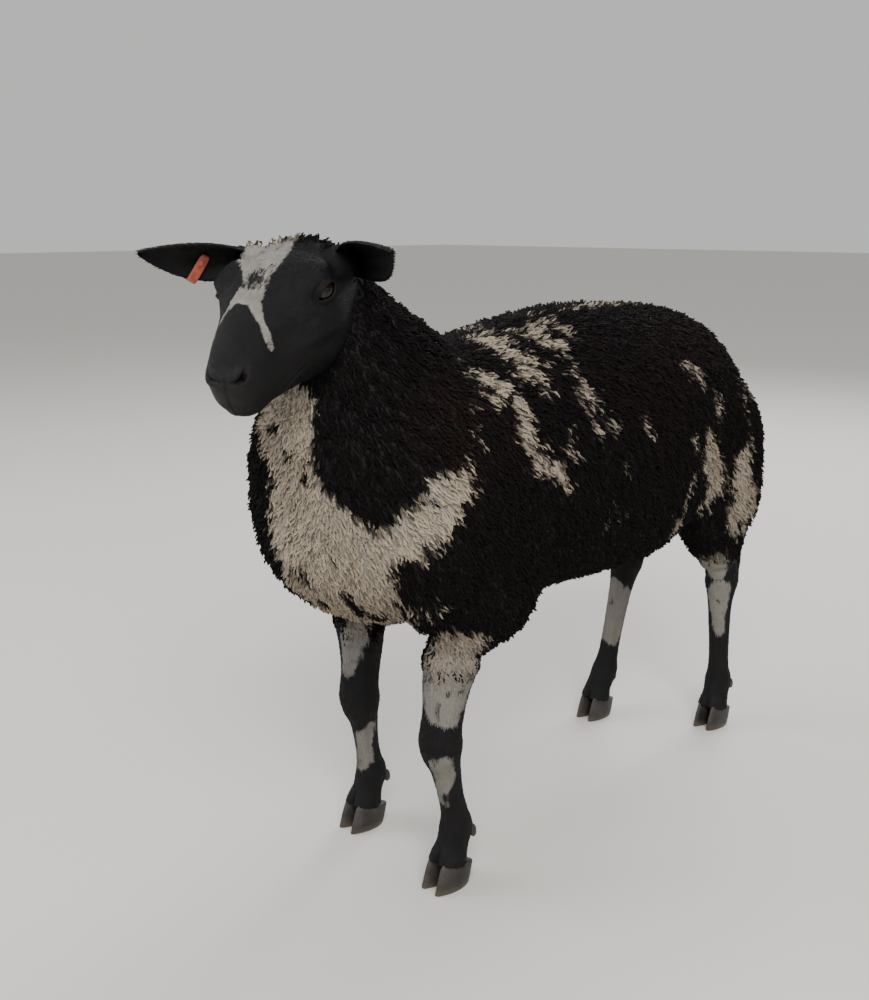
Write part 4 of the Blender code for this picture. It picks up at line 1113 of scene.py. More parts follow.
def wool_cover(co, part):
    """Return how thick the wool stands at each point, from 0 to 1, and how long it is."""
    x, y, z = co.T
    plane = (co - np.array(HEAD_CUT[0])) @ np.array(HEAD_CUT[1])
    if part == "head":
        local = head_places(co)
        wave = 0.006 * np.sin(local[:, 0] * 210.0)
        cover = ramp(local[:, 1] + wave, -0.004, 0.014)
        length = 0.55 + 0.35 * ramp(local[:, 1], -0.004, 0.012)
        return cover, length
    if part == "leg":
        front = y < 0.0
        edge = np.where(front, 0.302, 0.308) + 0.012 * np.sin(x * 170.0 + y * 90.0)
        cover = ramp(z, edge - 0.006, edge + 0.010)
        return cover, 0.40 + 0.5 * ramp(z, edge, edge + 0.05)
    cover = 1.0 - ramp(plane, 0.010, 0.026)
    low = np.where(y < 0.0, 0.300, 0.306)
    limb = (z < 0.36) & (np.abs(y) < 0.45)
    cover *= np.where(limb, ramp(z, low - 0.004, low + 0.008), 1.0)
    length = np.where(limb, 0.55 + 0.45 * ramp(z, low, low + 0.06), 1.0)
    length *= 1.0 - 0.35 * ramp(plane, -0.04, 0.02)
    return cover, length


def lie_of(co, normal, part):
    """Return the way the coat lies: down and back, and on the head and legs as short hair does."""
    way = np.zeros_like(co)
    if part == "head":
        turn = np.array(head_matrix().to_3x3())
        local = head_places(co)
        way[:, 1] = 1.0
        way[:, 2] = -0.25
        way[:, 0] = np.sign(local[:, 0]) * 0.35 * ramp(np.abs(local[:, 0]), 0.0, 0.02)
        way = way @ turn.T
    elif part == "leg":
        way[:, 2] = -1.0
        way[:, 1] = 0.18
    else:
        way[:, 1] = 0.55
        way[:, 2] = -1.0
        way[:, 0] = np.sign(co[:, 0]) * 0.25 * ramp(np.abs(co[:, 0]), 0.0, 0.03)
    way -= normal * np.sum(way * normal, axis=1)[:, None]
    return way / np.maximum(np.linalg.norm(way, axis=1), 1e-6)[:, None]


def coat_region(co, part):
    """Return the number of the coat piece that covers each point."""
    if part == "head":
        return np.full(len(co), PIECE_CODES["poll"])
    made = np.full(len(co), PIECE_CODES["loin"])
    x, y, z = co.T
    made[y < 0.085] = PIECE_CODES["ribs"]
    made[y < -0.085] = PIECE_CODES["shoulders"]
    made[y < -0.270] = PIECE_CODES["chest"]
    made[y > 0.230] = PIECE_CODES["rump"]
    above = (co - np.array(NECK_CUT[0])) @ np.array(NECK_CUT[1])
    made[(above > 0.0) & (y < -0.25)] = PIECE_CODES["neck"]
    line = np.array(THIGH_LINE[::-1])
    under = z < np.interp(y, line[:, 0], line[:, 1])
    made[under & (y > 0.105) & (x > 0)] = PIECE_CODES["haunch_left"]
    made[under & (y > 0.105) & (x <= 0)] = PIECE_CODES["haunch_right"]
    made[(y > 0.449) & (np.abs(x) < 0.06)] = PIECE_CODES["tail"]
    made[(z < 0.372) & (y < -0.18)] = PIECE_CODES["forearms"]
    return made


def turn_share(across, ahead):
    """Return how far round an axis points lie, from 0 to 1."""
    return np.arctan2(across, ahead) / tau + 0.5


def unwrap(co, piece):
    """Lay the skin under a coat piece out flat: round its own axis, and along it."""
    x, y, z = co.T
    if piece == "neck":
        axis = Vector((0.006, -0.45, 0.78)) - Vector((0.0, -0.325, 0.57))
        axis.normalize()
        side = X_AXIS
        front = axis.cross(side)
        rel = co - np.array((0.0, -0.325, 0.57))
        u = turn_share(rel @ np.array(side), rel @ np.array(front))
        return np.stack([u, (rel @ np.array(axis)) / 0.36 + 0.2], 1)
    if piece == "poll":
        local = head_places(co)
        u = turn_share(local[:, 0], local[:, 2] + 0.02)
        return np.stack([u, local[:, 1] / 0.12 + 0.5], 1)
    if piece.startswith("haunch"):
        u = turn_share(x - SIGN[piece.split("_")[1]] * 0.075, y - 0.28)
        return np.stack([u, (z - 0.29) / 0.28], 1)
    if piece == "forearms":
        left = x > 0
        u = np.arctan2(x - np.where(left, 0.105, -0.105), y + 0.31) / tau * 0.48 + 0.25
        return np.stack([u + np.where(left, 0.5, 0.0), (z - 0.29) / 0.09], 1)
    if piece == "tail":
        u = turn_share(x, y - 0.475)
        return np.stack([u, (z - 0.29) / 0.34], 1)
    low, high = {
        "chest": (-0.52, -0.26), "shoulders": (-0.28, -0.08), "ribs": (-0.09, 0.09),
        "loin": (0.08, 0.24), "rump": (0.22, 0.47),
    }[piece]
    u = turn_share(x, z - 0.53)
    return np.stack([u, (y - low) / (high - low)], 1)


def dress_skin(item, part):
    """Store on one part of the skin what its colour and its coat need."""
    mesh = item.data
    co = points_of(mesh)
    normal = normals_of(mesh)
    cover, length = wool_cover(co, part)
    depth = SKIN_DEPTH if part == "body" else 0.0
    values = {
        "white": part_white(co + normal * depth, part), "shade": shade_share(co, part),
        "hair": hair_length(co, part), "rust": rust_share(co), "cover": cover, "length": length,
        "bare": bare_share(co, part), "short": short_hair_cover(co, part, cover),
    }
    for name in SKIN_VALUES:
        put_attribute(mesh, name, values[name])
    put_attribute(mesh, "lie", lie_of(co, normal, part), "FLOAT_VECTOR")
    centres = np.empty(len(mesh.polygons) * 3, np.float32)
    mesh.polygons.foreach_get("center", centres)
    centres = centres.reshape(-1, 3).astype(float)
    region = coat_region(centres, part).astype(np.int32)
    put_attribute(mesh, "region", region, "INT", "FACE")
    put_attribute(mesh, "part", np.full(len(region), PART_CODES[part], np.int32), "INT", "FACE")


def eye_gap(co, side):
    """Return how far each point is from the middle of one eye."""
    return np.linalg.norm(co - np.array(eye_matrix(side).translation), axis=1)


def bare_share(co, part):
    """Return where the skin is bare and leathery: nose, lips and the rims of the lids."""
    if part != "head":
        return np.zeros(len(co))
    local = head_places(co)
    y, z = local[:, 1], local[:, 2]
    above = mouth_offset(local)[0]
    nose = ramp(-y, 0.184, 0.196) * ramp(z, -0.035, -0.015)
    lips = bump(above, 0.0028) * ramp(-y, 0.100, 0.120) * (z < 0.0)
    made = np.maximum(nose, lips)
    for side in (-1.0, 1.0):
        slit = np.linalg.norm(local - np.array((side * 0.021, -0.190, 0.002)), axis=1)
        lid = 1.0 - ramp(eye_gap(co, side), 0.0146, 0.0158)
        made = np.maximum.reduce([made, bump(slit, 0.012), lid])
    return clipped(made)


def shade_share(co, part):
    """Return the painted shade of deep places: the nostrils and the mouth, and against the eyes."""
    if part != "head":
        return np.zeros(len(co))
    local = head_places(co)
    above, turn = mouth_offset(local)
    made = bump(above, 0.0014) * mouth_ends(turn, 112.0) * ramp(-local[:, 1], 0.085, 0.105)
    made = made * (local[:, 2] < 0.0) * 0.8
    for side in (-1.0, 1.0):
        made = np.maximum(made, 1.0 - ramp(eye_gap(co, side), EYE_RADIUS + 0.0006, EYE_RADIUS + 0.0019))
        made = np.maximum(made, nostril_depth(local, side))
    return clipped(made)


def hair_length(co, part):
    """Return how long the short hair is: shortest at the muzzle and the hooves."""
    if part == "head":
        local = head_places(co)
        return 0.35 + 0.55 * ramp(local[:, 1], -0.150, -0.030)
    if part == "leg":
        return 0.75 + 0.35 * ramp(co[:, 2], 0.05, 0.30)
    return np.full(len(co), 0.85)


def short_hair_cover(co, part, wool):
    """Return how thick the short hair stands on face, ears and legs."""
    if part == "body":
        return np.zeros(len(co))
    cover = 1.0 - ramp(wool, 0.5, 0.9)
    if part == "head":
        cover *= 1.0 - ramp(bare_share(co, part), 0.2, 0.5)
        for side in (-1.0, 1.0):
            cover *= ramp(eye_gap(co, side), 0.0150, 0.0175)
    return cover


def make_skin():
    """Make the one skin over body, head, ears and legs, and store its coat values."""
    body = body_skin()
    dress_skin(body, "body")
    head = head_skin()
    dress_skin(head, "head")
    shells = [body, head]
    for name in FEET:
        item = leg_skin(name)
        dress_skin(item, "leg")
        shells.append(item)
    for side in (-1.0, 1.0):
        item = ear_skin(side)
        dress_ear(item, side)
        shells.append(item)
    meshes = [item.data for item in shells]
    made = placed_object("skin", join_meshes(meshes, "skin"))
    for item in shells:
        drop(item)
    made.data.shade_smooth()
    return made


def dress_ear(item, side):
    """Store the coat values of one ear, its hair running to the tip."""
    mesh = item.data
    co = points_of(mesh)
    count = len(co)
    t = in_axes(co, ear_matrix(side))[:, 0] / EAR_LENGTH
    turn = ear_matrix(side).to_3x3()
    for name in ("white", "rust", "cover", "length"):
        put_attribute(mesh, name, np.zeros(count))
    put_attribute(mesh, "hair", np.full(count, 0.8))
    along = np.array(turn @ X_AXIS)
    put_attribute(mesh, "lie", np.tile(along, (count, 1)), "FLOAT_VECTOR")
    inner = ramp(normals_of(mesh) @ np.array(turn @ Z_AXIS), 0.2, 0.6)
    put_attribute(mesh, "bare", 0.35 * inner * (1.0 - ramp(t, 0.55, 0.9)))
    put_attribute(mesh, "shade", 0.75 * inner * (1.0 - ramp(t, 0.05, 0.62)))
    put_attribute(mesh, "short", ramp(t, -0.10, 0.02) * (1.0 - 0.55 * inner))
    faces = len(mesh.polygons)
    put_attribute(mesh, "region", np.full(faces, NO_PIECE, np.int32), "INT", "FACE")
    put_attribute(mesh, "part", np.full(faces, PART_CODES["ear"], np.int32), "INT", "FACE")


def join_meshes(meshes, name):
    """Join meshes into one, keeping their stored attributes."""
    made = bpy.data.meshes.new(name)
    corners, sizes, places, shift = [], [], [], 0
    for mesh in meshes:
        size = np.empty(len(mesh.polygons), np.int32)
        mesh.polygons.foreach_get("loop_total", size)
        corners.append(corners_of(mesh) + shift)
        sizes.append(size)
        places.append(points_of(mesh))
        shift += len(mesh.vertices)
    corners, sizes, places = np.concatenate(corners), np.concatenate(sizes), np.vstack(places)
    made.vertices.add(len(places))
    made.loops.add(len(corners))
    made.polygons.add(len(sizes))
    made.vertices.foreach_set("co", places.astype(np.float32).ravel())
    made.loops.foreach_set("vertex_index", corners)
    starts = np.concatenate([[0], np.cumsum(sizes)[:-1]])
    made.polygons.foreach_set("loop_start", starts.astype(np.int32))
    made.update(calc_edges=True)
    stored = [(key, "FLOAT", "POINT", 1) for key in SKIN_VALUES] + [("lie", "FLOAT_VECTOR", "POINT", 3)]
    for key, kind, domain, width in stored + [("region", "INT", "FACE", 1), ("part", "INT", "FACE", 1)]:
        values = np.concatenate([get_attribute(mesh, key, width) for mesh in meshes])
        put_attribute(made, key, values, kind, domain)
    return made


def add(tree, kind, feeds=None, **settings):
    """Add a node with its settings and return its outputs; each feed is a socket to link from, a hex
    colour or a value."""
    node = tree.nodes.new(kind)
    for key, value in settings.items():
        setattr(node, key, value)
    for key, value in (feeds or {}).items():
        if isinstance(value, bpy.types.NodeSocket):
            tree.links.new(value, node.inputs[key])
        elif isinstance(value, str) and value.startswith("#"):
            node.inputs[key].default_value = colour(value)
        else:
            node.inputs[key].default_value = value
    return node.outputs


def lock_form(name, rings, width, bend, curl, turn, home):
    """Make one tapering lock that rises, bends over along +Y and curls at its tip."""
    sides = LOCK_SIDES
    points, patch, tips, faces = [], [], [], []
    for k in range(rings + 1):
        t = 1.0 - (1.0 - k / rings) ** 1.4
        swing = Vector((sin(turn + 4.6 * t), cos(turn + 4.6 * t), 0.0)) * curl * t
        centre = Vector((0.0, bend * t ** 1.6, t - 0.10 * t * t)) + swing
        grow = width * (0.80 + 0.45 * sin(pi * min(t + 0.10, 1.0)))
        for s in range(sides if k < rings else 1):
            angle = tau * s / sides + 1.1 * t + turn
            reach = grow if k < rings else 0.0
            points.append(centre + Vector((cos(angle) * reach, sin(angle) * reach, 0.0)))
            patch.append((0.15 + 0.7 * s / sides, 0.1 + 0.85 * t))
            tips.append(t)
    for k in range(rings - 1):
        for s in range(sides):
            a, b = k * sides + s, k * sides + (s + 1) % sides
            faces.append((a, b, b + sides, a + sides))
    last = (rings - 1) * sides
    for s in range(sides):
        faces.append((last + s, last + (s + 1) % sides, len(points) - 1))
    faces.append(tuple(reversed(range(sides))))
    mesh = bpy.data.meshes.new(name)
    mesh.from_pydata(points, [], faces)
    put_attribute(mesh, "patch_u", [p[0] for p in patch])
    put_attribute(mesh, "patch_v", [p[1] for p in patch])
    put_attribute(mesh, "tip", tips)
    mesh.shade_smooth()
    home.objects.link(bpy.data.objects.new(name, mesh))


def lock_collection(name, rings, width, bend, curl):
    """Make the few lock shapes that a coat is set from."""
    home = bpy.data.collections.new(name)
    bpy.context.scene.collection.children.link(home)
    for k in range(LOCK_SHAPES):
        lock_form("%s_%d" % (name, k), rings, width * (0.9 + 0.04 * k), bend * (0.7 + 0.12 * k),
                  curl * (0.5 + 0.2 * k), 1.05 * k, home)
    return home


def clear_locks(locks):
    """Remove the lock shapes once the coat is set."""
    for item in list(locks.objects):
        drop(item)
    bpy.data.collections.remove(locks)


def coat_tree():
    """Build the node tree that sets locks on the skin along the lie of the coat."""
    tree = bpy.data.node_groups.new("coat_locks", "GeometryNodeTree")
    face = tree.interface
    for name, kind in (
        ("Skin", "Geometry"), ("Locks", "Collection"), ("Material", "Material"), ("Region", "Int"),
        *((name, "Float") for name in COAT_MEASURES),
        ("Cover Name", "String"), ("Length Name", "String"), ("Region Name", "String"), ("Seed", "Int"),
    ):
        face.new_socket(name, in_out="INPUT", socket_type="NodeSocket" + kind)
    face.new_socket("Coat", in_out="OUTPUT", socket_type="NodeSocketGeometry")
    given = add(tree, "NodeGroupInput")
    region = add(tree, NAMED, {"Name": given["Region Name"]}, data_type="INT")["Attribute"]
    cover = add(tree, NAMED, {"Name": given["Cover Name"]}, data_type="FLOAT")["Attribute"]
    tallness = add(tree, NAMED, {"Name": given["Length Name"]}, data_type="FLOAT")["Attribute"]
    lie = add(tree, NAMED, {"Name": "lie"}, data_type="FLOAT_VECTOR")["Attribute"]
    chosen = add(tree, "FunctionNodeCompare", {2: region, 3: given["Region"]}, data_type="INT",
                 operation="EQUAL")[0]
    square = add(tree, MATHS, {0: given["Spacing"], 1: given["Spacing"]}, operation="MULTIPLY")[0]
    dense = add(tree, MATHS, {0: 2.0, 1: square}, operation="DIVIDE")[0]
    spread = add(
        tree, "GeometryNodeDistributePointsOnFaces",
        {"Mesh": given["Skin"], "Selection": chosen, "Distance Min": given["Spacing"],
         "Density Max": dense, "Density Factor": cover, "Seed": given["Seed"]},
        distribute_method="POISSON",
    )
    place = add(tree, "GeometryNodeInputPosition")[0]
    rooted = add(tree, STORE, {"Name": "root", "Geometry": spread["Points"], "Value": place},
                 data_type="FLOAT_VECTOR", domain="POINT")[0]
    rooted = add(tree, STORE, {"Name": "up", "Geometry": rooted, "Value": spread["Normal"]},
                 data_type="FLOAT_VECTOR", domain="POINT")[0]
    # staples: neighbours lean together towards the middle of their cell
    finer = add(tree, MATHS, {0: 1.0, 1: given["Staple"]}, operation="DIVIDE")[0]
    counted = add(tree, VECTORS, {0: place, "Scale": finer}, operation="SCALE")[0]
    cells = add(tree, "ShaderNodeTexVoronoi", {"Scale": 1.0, "Vector": counted}, feature="F1")
    toward = add(tree, VECTORS, {0: cells["Position"], 1: counted}, operation="SUBTRACT")[0]
    gather = add(tree, VECTORS, {0: toward, "Scale": given["Gather"]}, operation="SCALE")[0]
    loose = add(tree, RANDOM, {0: (-0.5, -0.5, -0.5), 1: (0.5, 0.5, 0.5), "Seed": given["Seed"]},
                data_type="FLOAT_VECTOR")[0]
    stray = add(tree, VECTORS, {0: loose, "Scale": given["Stray"]}, operation="SCALE")[0]
    laid = add(tree, VECTORS, {0: lie, "Scale": given["Lay"]}, operation="SCALE")[0]
    rise = add(tree, VECTORS, {0: spread["Normal"], 1: laid}, operation="ADD")[0]
    sway = add(tree, VECTORS, {0: gather, 1: stray}, operation="ADD")[0]
    rise = add(tree, VECTORS, {0: rise, 1: sway}, operation="ADD")[0]
    stand = add(tree, ALIGN, {"Vector": rise}, axis="Z")[0]
    bent = add(tree, VECTORS, {0: lie, 1: stray}, operation="ADD")[0]
    turned = add(tree, ALIGN, {"Rotation": stand, "Vector": bent}, axis="Y", pivot_axis="Z")[0]
    chance = add(tree, RANDOM, {2: 0.80, 3: 1.18, "Seed": given["Seed"]}, data_type="FLOAT")[1]
    dip = add(tree, MATHS, {0: cells["Distance"], 1: given["Hollow"]}, operation="MULTIPLY")[0]
    dome = add(tree, MATHS, {0: 1.12, 1: dip}, operation="SUBTRACT")[0]
    tall = add(tree, MATHS, {0: given["Length"], 1: tallness}, operation="MULTIPLY")[0]
    tall = add(tree, MATHS, {0: tall, 1: dome}, operation="MULTIPLY")[0]
    tall = add(tree, MATHS, {0: tall, 1: chance}, operation="MULTIPLY")[0]
    wide = add(tree, MATHS, {0: given["Width"], 1: chance}, operation="MULTIPLY")[0]
    size = add(tree, "ShaderNodeCombineXYZ", {"X": wide, "Y": wide, "Z": tall})[0]
    shapes = add(
        tree, "GeometryNodeCollectionInfo",
        {"Separate Children": True, "Reset Children": True, "Collection": given["Locks"]},
        transform_space="ORIGINAL",
    )[0]
    pick = add(tree, RANDOM, {4: 0, 5: LOCK_SHAPES - 1, "Seed": given["Seed"]}, data_type="INT")[2]
    placed = add(
        tree, "GeometryNodeInstanceOnPoints",
        {"Pick Instance": True, "Points": rooted, "Instance": shapes, "Instance Index": pick,
         "Rotation": turned, "Scale": size},
    )[0]
    real = add(tree, "GeometryNodeRealizeInstances", {"Geometry": placed})[0]
    coated = add(tree, "GeometryNodeSetMaterial", {"Geometry": real, "Material": given["Material"]})[0]
    add(tree, "NodeGroupOutput", {"Coat": coated})
    return tree


def coat_piece(skin, tree, name, settings):
    """Set one coat piece on the skin and return it as a plain mesh object."""
    step = skin.modifiers.new("coat", "NODES")
    step.node_group = tree
    for item in tree.interface.items_tree:
        if item.in_out == "INPUT" and item.name in settings:
            step[item.identifier] = settings[item.name]
    skin.update_tag()
    graph = bpy.context.evaluated_depsgraph_get()
    mesh = bpy.data.meshes.new_from_object(skin.evaluated_get(graph))
    skin.modifiers.remove(step)
    if len(mesh.vertices) == 0:
        raise RuntimeError("coat piece %s came out empty" % name)
    mesh.name = name
    return placed_object(name, mesh)


def soften(mesh, share):
    """Turn the locks' normals part of the way to the skin's, so that the coat is lit as one."""
    mixed = normals_of(mesh) * (1.0 - share) + get_attribute(mesh, "up", 3) * share
    mixed /= np.maximum(np.linalg.norm(mixed, axis=1), 1e-6)[:, None]
    mesh.normals_split_custom_set_from_vertices(mixed.tolist())


def dye_locks(mesh, rings, part, seed, depth):
    """Colour each lock by its root: white, black or between, and a little lighter or darker."""
    size = rings * LOCK_SIDES + 1
    root = get_attribute(mesh, "root", 3)[::size].astype(float) - np.array(FRAME_SHIFT)
    root += get_attribute(mesh, "up", 3)[::size] * depth
    chance = np.random.default_rng(seed).random((len(root), 2))
    reach = 0.55 if part == "body" else 0.22
    white = ramp(part_white(root, part) + reach * (chance[:, 0] - 0.5), 0.24, 0.76)
    put_attribute(mesh, "white", np.repeat(white, size))
    put_attribute(mesh, "tone", np.repeat(chance[:, 1], size))


def lay_bake_map(mesh, flat):
    """Give a coat piece its OFBake map: each lock a small patch at its root's place."""
    root = get_attribute(mesh, "root", 3).astype(float) - np.array(FRAME_SHIFT)
    spot = flat(root)
    spot[:, 0] += (get_attribute(mesh, "patch_u") - 0.5) * PATCH_SIZE
    spot[:, 1] += (get_attribute(mesh, "patch_v") - 0.5) * PATCH_SIZE
    spot = np.clip(spot, 0.001, 0.999)
    layer = mesh.uv_layers.new(name="OFBake")
    layer.data.foreach_set("uv", spot[corners_of(mesh)].astype(np.float32).ravel())
    mesh.uv_layers.active = layer
    for name in ("root", "patch_u", "patch_v", "cover", "length", "short", "region", "part", "hair",
                 "shade", "up"):
        if name in mesh.attributes:
            mesh.attributes.remove(mesh.attributes[name])


def finish_coat(item, share, flat):
    """Soften a dyed coat piece, map it and let it ride on the body."""
    soften(item.data, share)
    lay_bake_map(item.data, flat)
    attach(item, "root")


def sheep(context):
    """Return the settings of the sheep."""
    return context.scene.spotted_sheep


def to_linear(value):
    """Turn one sRGB channel to linear."""
    return value / 12.92 if value <= 0.04045 else ((value + 0.055) / 1.055) ** 2.4


def colour(code):
    """Return an sRGB hex colour as a linear colour with alpha."""
    return tuple(to_linear(int(code[k : k + 2], 16) / 255.0) for k in (1, 3, 5)) + (1.0,)


def tinted(base, level):
    """Return a setting's colour, lighter or darker by a factor."""
    return tuple(min(part * level, 1.0) for part in base[:3]) + (1.0,)


def new_material(name):
    """Return a new material, its node tree and its Principled shader."""
    made = bpy.data.materials.new(name)
    made.use_nodes = True
    return made, made.node_tree, made.node_tree.nodes["Principled BSDF"]


def fleece_material(values):
    """Crimped wool of a spotted sheep: matt and soft, brown-black or greyed cream, each lock a little
    different, browner at sun-bleached tips, with painted shade darkening it down at the roots."""
    made, tree, shader = new_material("crimped_wool")
    place = add(tree, PLACE)["Object"]
    white, tone, tip, rust = (add(tree, ATTRIBUTE, attribute_name=name)["Fac"]
                              for name in ("white", "tone", "tip", "rust"))
    # staples of about 12 mm and whole areas of about 100 mm differ in tone; the crimp of the fibres
    # is about 1.6 mm from crest to crest
    staple, drift, crimp = (add(tree, NOISE, {"Scale": scale, "Detail": 2.0, "Vector": place})[0]
                            for scale in (85.0, 9.0, 620.0))
    level = add(tree, MATHS, {0: tone, 1: 0.45, 2: staple}, operation="MULTIPLY_ADD")[0]
    level = add(tree, SPREAD, {0: level, 1: 0.45, 2: 0.95})[0]
    dark = add(tree, MIX, {0: level, 6: tinted(values.black_wool, 0.55),
                           7: tinted(values.black_wool, 1.5)}, data_type="RGBA")[2]
    faded = add(tree, SPREAD, {0: drift, 1: 0.38, 2: 0.66})[0]
    faded = add(tree, MATHS, {0: faded, 1: rust}, operation="MULTIPLY")[0]
    tips = add(tree, SPREAD, {0: tip, 1: 0.2, 2: 0.9, 3: 0.35, 4: 0.9})[0]
    faded = add(tree, MATHS, {0: faded, 1: tips}, operation="MULTIPLY")[0]
    dark = add(tree, MIX, {0: faded, 6: dark, 7: tinted(values.bleached_wool, 1.0)},
               data_type="RGBA")[2]
    # painted shade darkens the black wool down at the roots
    deep = add(tree, SPREAD, {0: tip, 1: 0.0, 2: 0.55, 3: 0.6, 4: 0.0})[0]
    dark = add(tree, MIX, {0: deep, 6: dark, 7: "#050404"}, data_type="RGBA")[2]
    pale = add(tree, MIX, {0: level, 6: tinted(values.white_wool, 0.78),
                           7: tinted(values.white_wool, 1.08)}, data_type="RGBA")[2]
    height = add(tree, PARTS, {"Vector": place})["Z"]
    # over the white: soiled areas, darker grey below the belly, and painted shade at the roots
    for source, low, high, first, last, cover in (
        (drift, 0.40, 0.62, 0.0, 0.35, "#857b6d"), (height, 0.26, 0.48, 0.62, 0.0, "#5f584f"),
        (tip, 0.0, 0.55, 0.30, 0.0, "#756b5e"),
    ):
        share = add(tree, SPREAD, {0: source, 1: low, 2: high, 3: first, 4: last})[0]
        pale = add(tree, MIX, {0: share, 6: pale, 7: cover}, data_type="RGBA")[2]
    base = add(tree, MIX, {0: white, 6: dark, 7: pale}, data_type="RGBA")[2]
    relief = add(tree, BUMP, {"Strength": 0.5, "Distance": 0.001, "Height": crimp})[0]
    tree.links.new(base, shader.inputs["Base Color"])
    tree.links.new(relief, shader.inputs["Normal"])
    shader.inputs["Roughness"].default_value = 0.95
    shader.inputs["Specular IOR Level"].default_value = 0.12
    return made


def hide_material(values):
    """Skin under short, close hair: the hair lies flat with a slight sheen, partly painted glints;
    nose, lips and lid rims are bare, dark and leathery; painted shade darkens the nostrils, the
    mouth, the edges against the eyes and the ear cups nearly to black."""
    made, tree, shader = new_material("short_haired_hide")
    place = add(tree, PLACE)["Object"]
    white, bare, shade = (add(tree, ATTRIBUTE, attribute_name=name)["Fac"]
                          for name in ("white", "bare", "shade"))
    lie = add(tree, ATTRIBUTE, attribute_name="lie")["Vector"]
    # hairs about 0.7 mm apart, drawn out along the lie
    along = add(tree, VECTORS, {0: place, 1: lie}, operation="DOT_PRODUCT")["Value"]
    along = add(tree, MATHS, {0: along, 1: -0.85}, operation="MULTIPLY")[0]
    pull = add(tree, VECTORS, {0: lie, "Scale": along}, operation="SCALE")[0]
    drawn = add(tree, VECTORS, {0: place, 1: pull}, operation="ADD")[0]
    hairs, tufts = (add(tree, NOISE, {"Scale": scale, "Detail": 2.0, "Vector": drawn})[0]
                    for scale in (1100.0, 260.0))
    patchy = add(tree, NOISE, {"Scale": 38.0, "Detail": 3.0, "Vector": place})[0]
    # white and black hairs stand mixed along the border of a mark
    grizzle = add(tree, MATHS, {0: hairs, 1: 0.75, 2: -0.375}, operation="MULTIPLY_ADD")[0]
    edge = add(tree, MATHS, {0: white, 1: grizzle}, operation="ADD")[0]
    edge = add(tree, SPREAD, {0: edge, 1: 0.34, 2: 0.68})[0]
    level = add(tree, MATHS, {0: tufts, 1: 0.6, 2: patchy}, operation="MULTIPLY_ADD")[0]
    level = add(tree, SPREAD, {0: level, 1: 0.55, 2: 1.05})[0]
    dark = add(tree, MIX, {0: level, 6: tinted(values.black_hair, 0.6),
                           7: tinted(values.black_hair, 1.5)}, data_type="RGBA")[2]
    glint = add(tree, SPREAD, {0: hairs, 1: 0.45, 2: 0.75, 3: 0.0, 4: 0.55})[0]
    dark = add(tree, MIX, {0: glint, 6: dark, 7: tinted(values.black_hair, 2.4)}, data_type="RGBA")[2]
    pale = add(tree, MIX, {0: level, 6: tinted(values.white_hair, 0.6),
                           7: tinted(values.white_hair, 1.1)}, data_type="RGBA")[2]
    # painted shade in the partings between the white hairs
    parting_shade = add(tree, SPREAD, {0: hairs, 1: 0.34, 2: 0.56, 3: 0.65, 4: 0.0})[0]
    pale = add(tree, MIX, {0: parting_shade, 6: pale, 7: tinted(values.white_hair, 0.22)},
               data_type="RGBA")[2]
    # painted shade greys the legs' white towards the hooves, broken into patches
    height = add(tree, PARTS, {"Vector": place})["Z"]
    painted_leg_shade = add(tree, SPREAD, {0: height, 1: 0.08, 2: 0.50, 3: 0.50, 4: 0.0})[0]
    painted_leg_shade = add(tree, MATHS, {0: patchy, 1: 0.5, 2: painted_leg_shade}, operation="MULTIPLY_ADD")[0]
    painted_leg_shade = add(tree, SPREAD, {0: painted_leg_shade, 1: 0.25, 2: 0.80, 3: 0.0, 4: 0.65})[0]
    pale = add(tree, MIX, {0: painted_leg_shade, 6: pale, 7: "#5a554f"}, data_type="RGBA")[2]
    coat = add(tree, MIX, {0: edge, 6: dark, 7: pale}, data_type="RGBA")[2]
    leather = add(tree, MIX, {0: level, 6: "#0b0a0b", 7: "#171516"}, data_type="RGBA")[2]
    base = add(tree, MIX, {0: bare, 6: coat, 7: leather}, data_type="RGBA")[2]
    base = add(tree, MIX, {0: shade, 6: base, 7: "#040303"}, data_type="RGBA")[2]
    # leather cells of about 2 mm on nose and lips
    cells = add(tree, "ShaderNodeTexVoronoi", {"Scale": 520.0, "Vector": place},
                feature="DISTANCE_TO_EDGE")
    pores = add(tree, SPREAD, {0: cells["Distance"], 1: 0.0, 2: 0.25})[0]
    height = add(tree, MIX, {0: bare, 2: hairs, 3: pores})[0]
    relief = add(tree, BUMP, {"Strength": 0.6, "Distance": 0.0008, "Height": height})[0]
    tree.links.new(base, shader.inputs["Base Color"])
    tree.links.new(relief, shader.inputs["Normal"])
    rough = add(tree, MIX, {0: bare, 2: 0.60, 3: 0.42})[0]
    tree.links.new(rough, shader.inputs["Roughness"])
    shader.inputs["Specular IOR Level"].default_value = 0.20
    return made


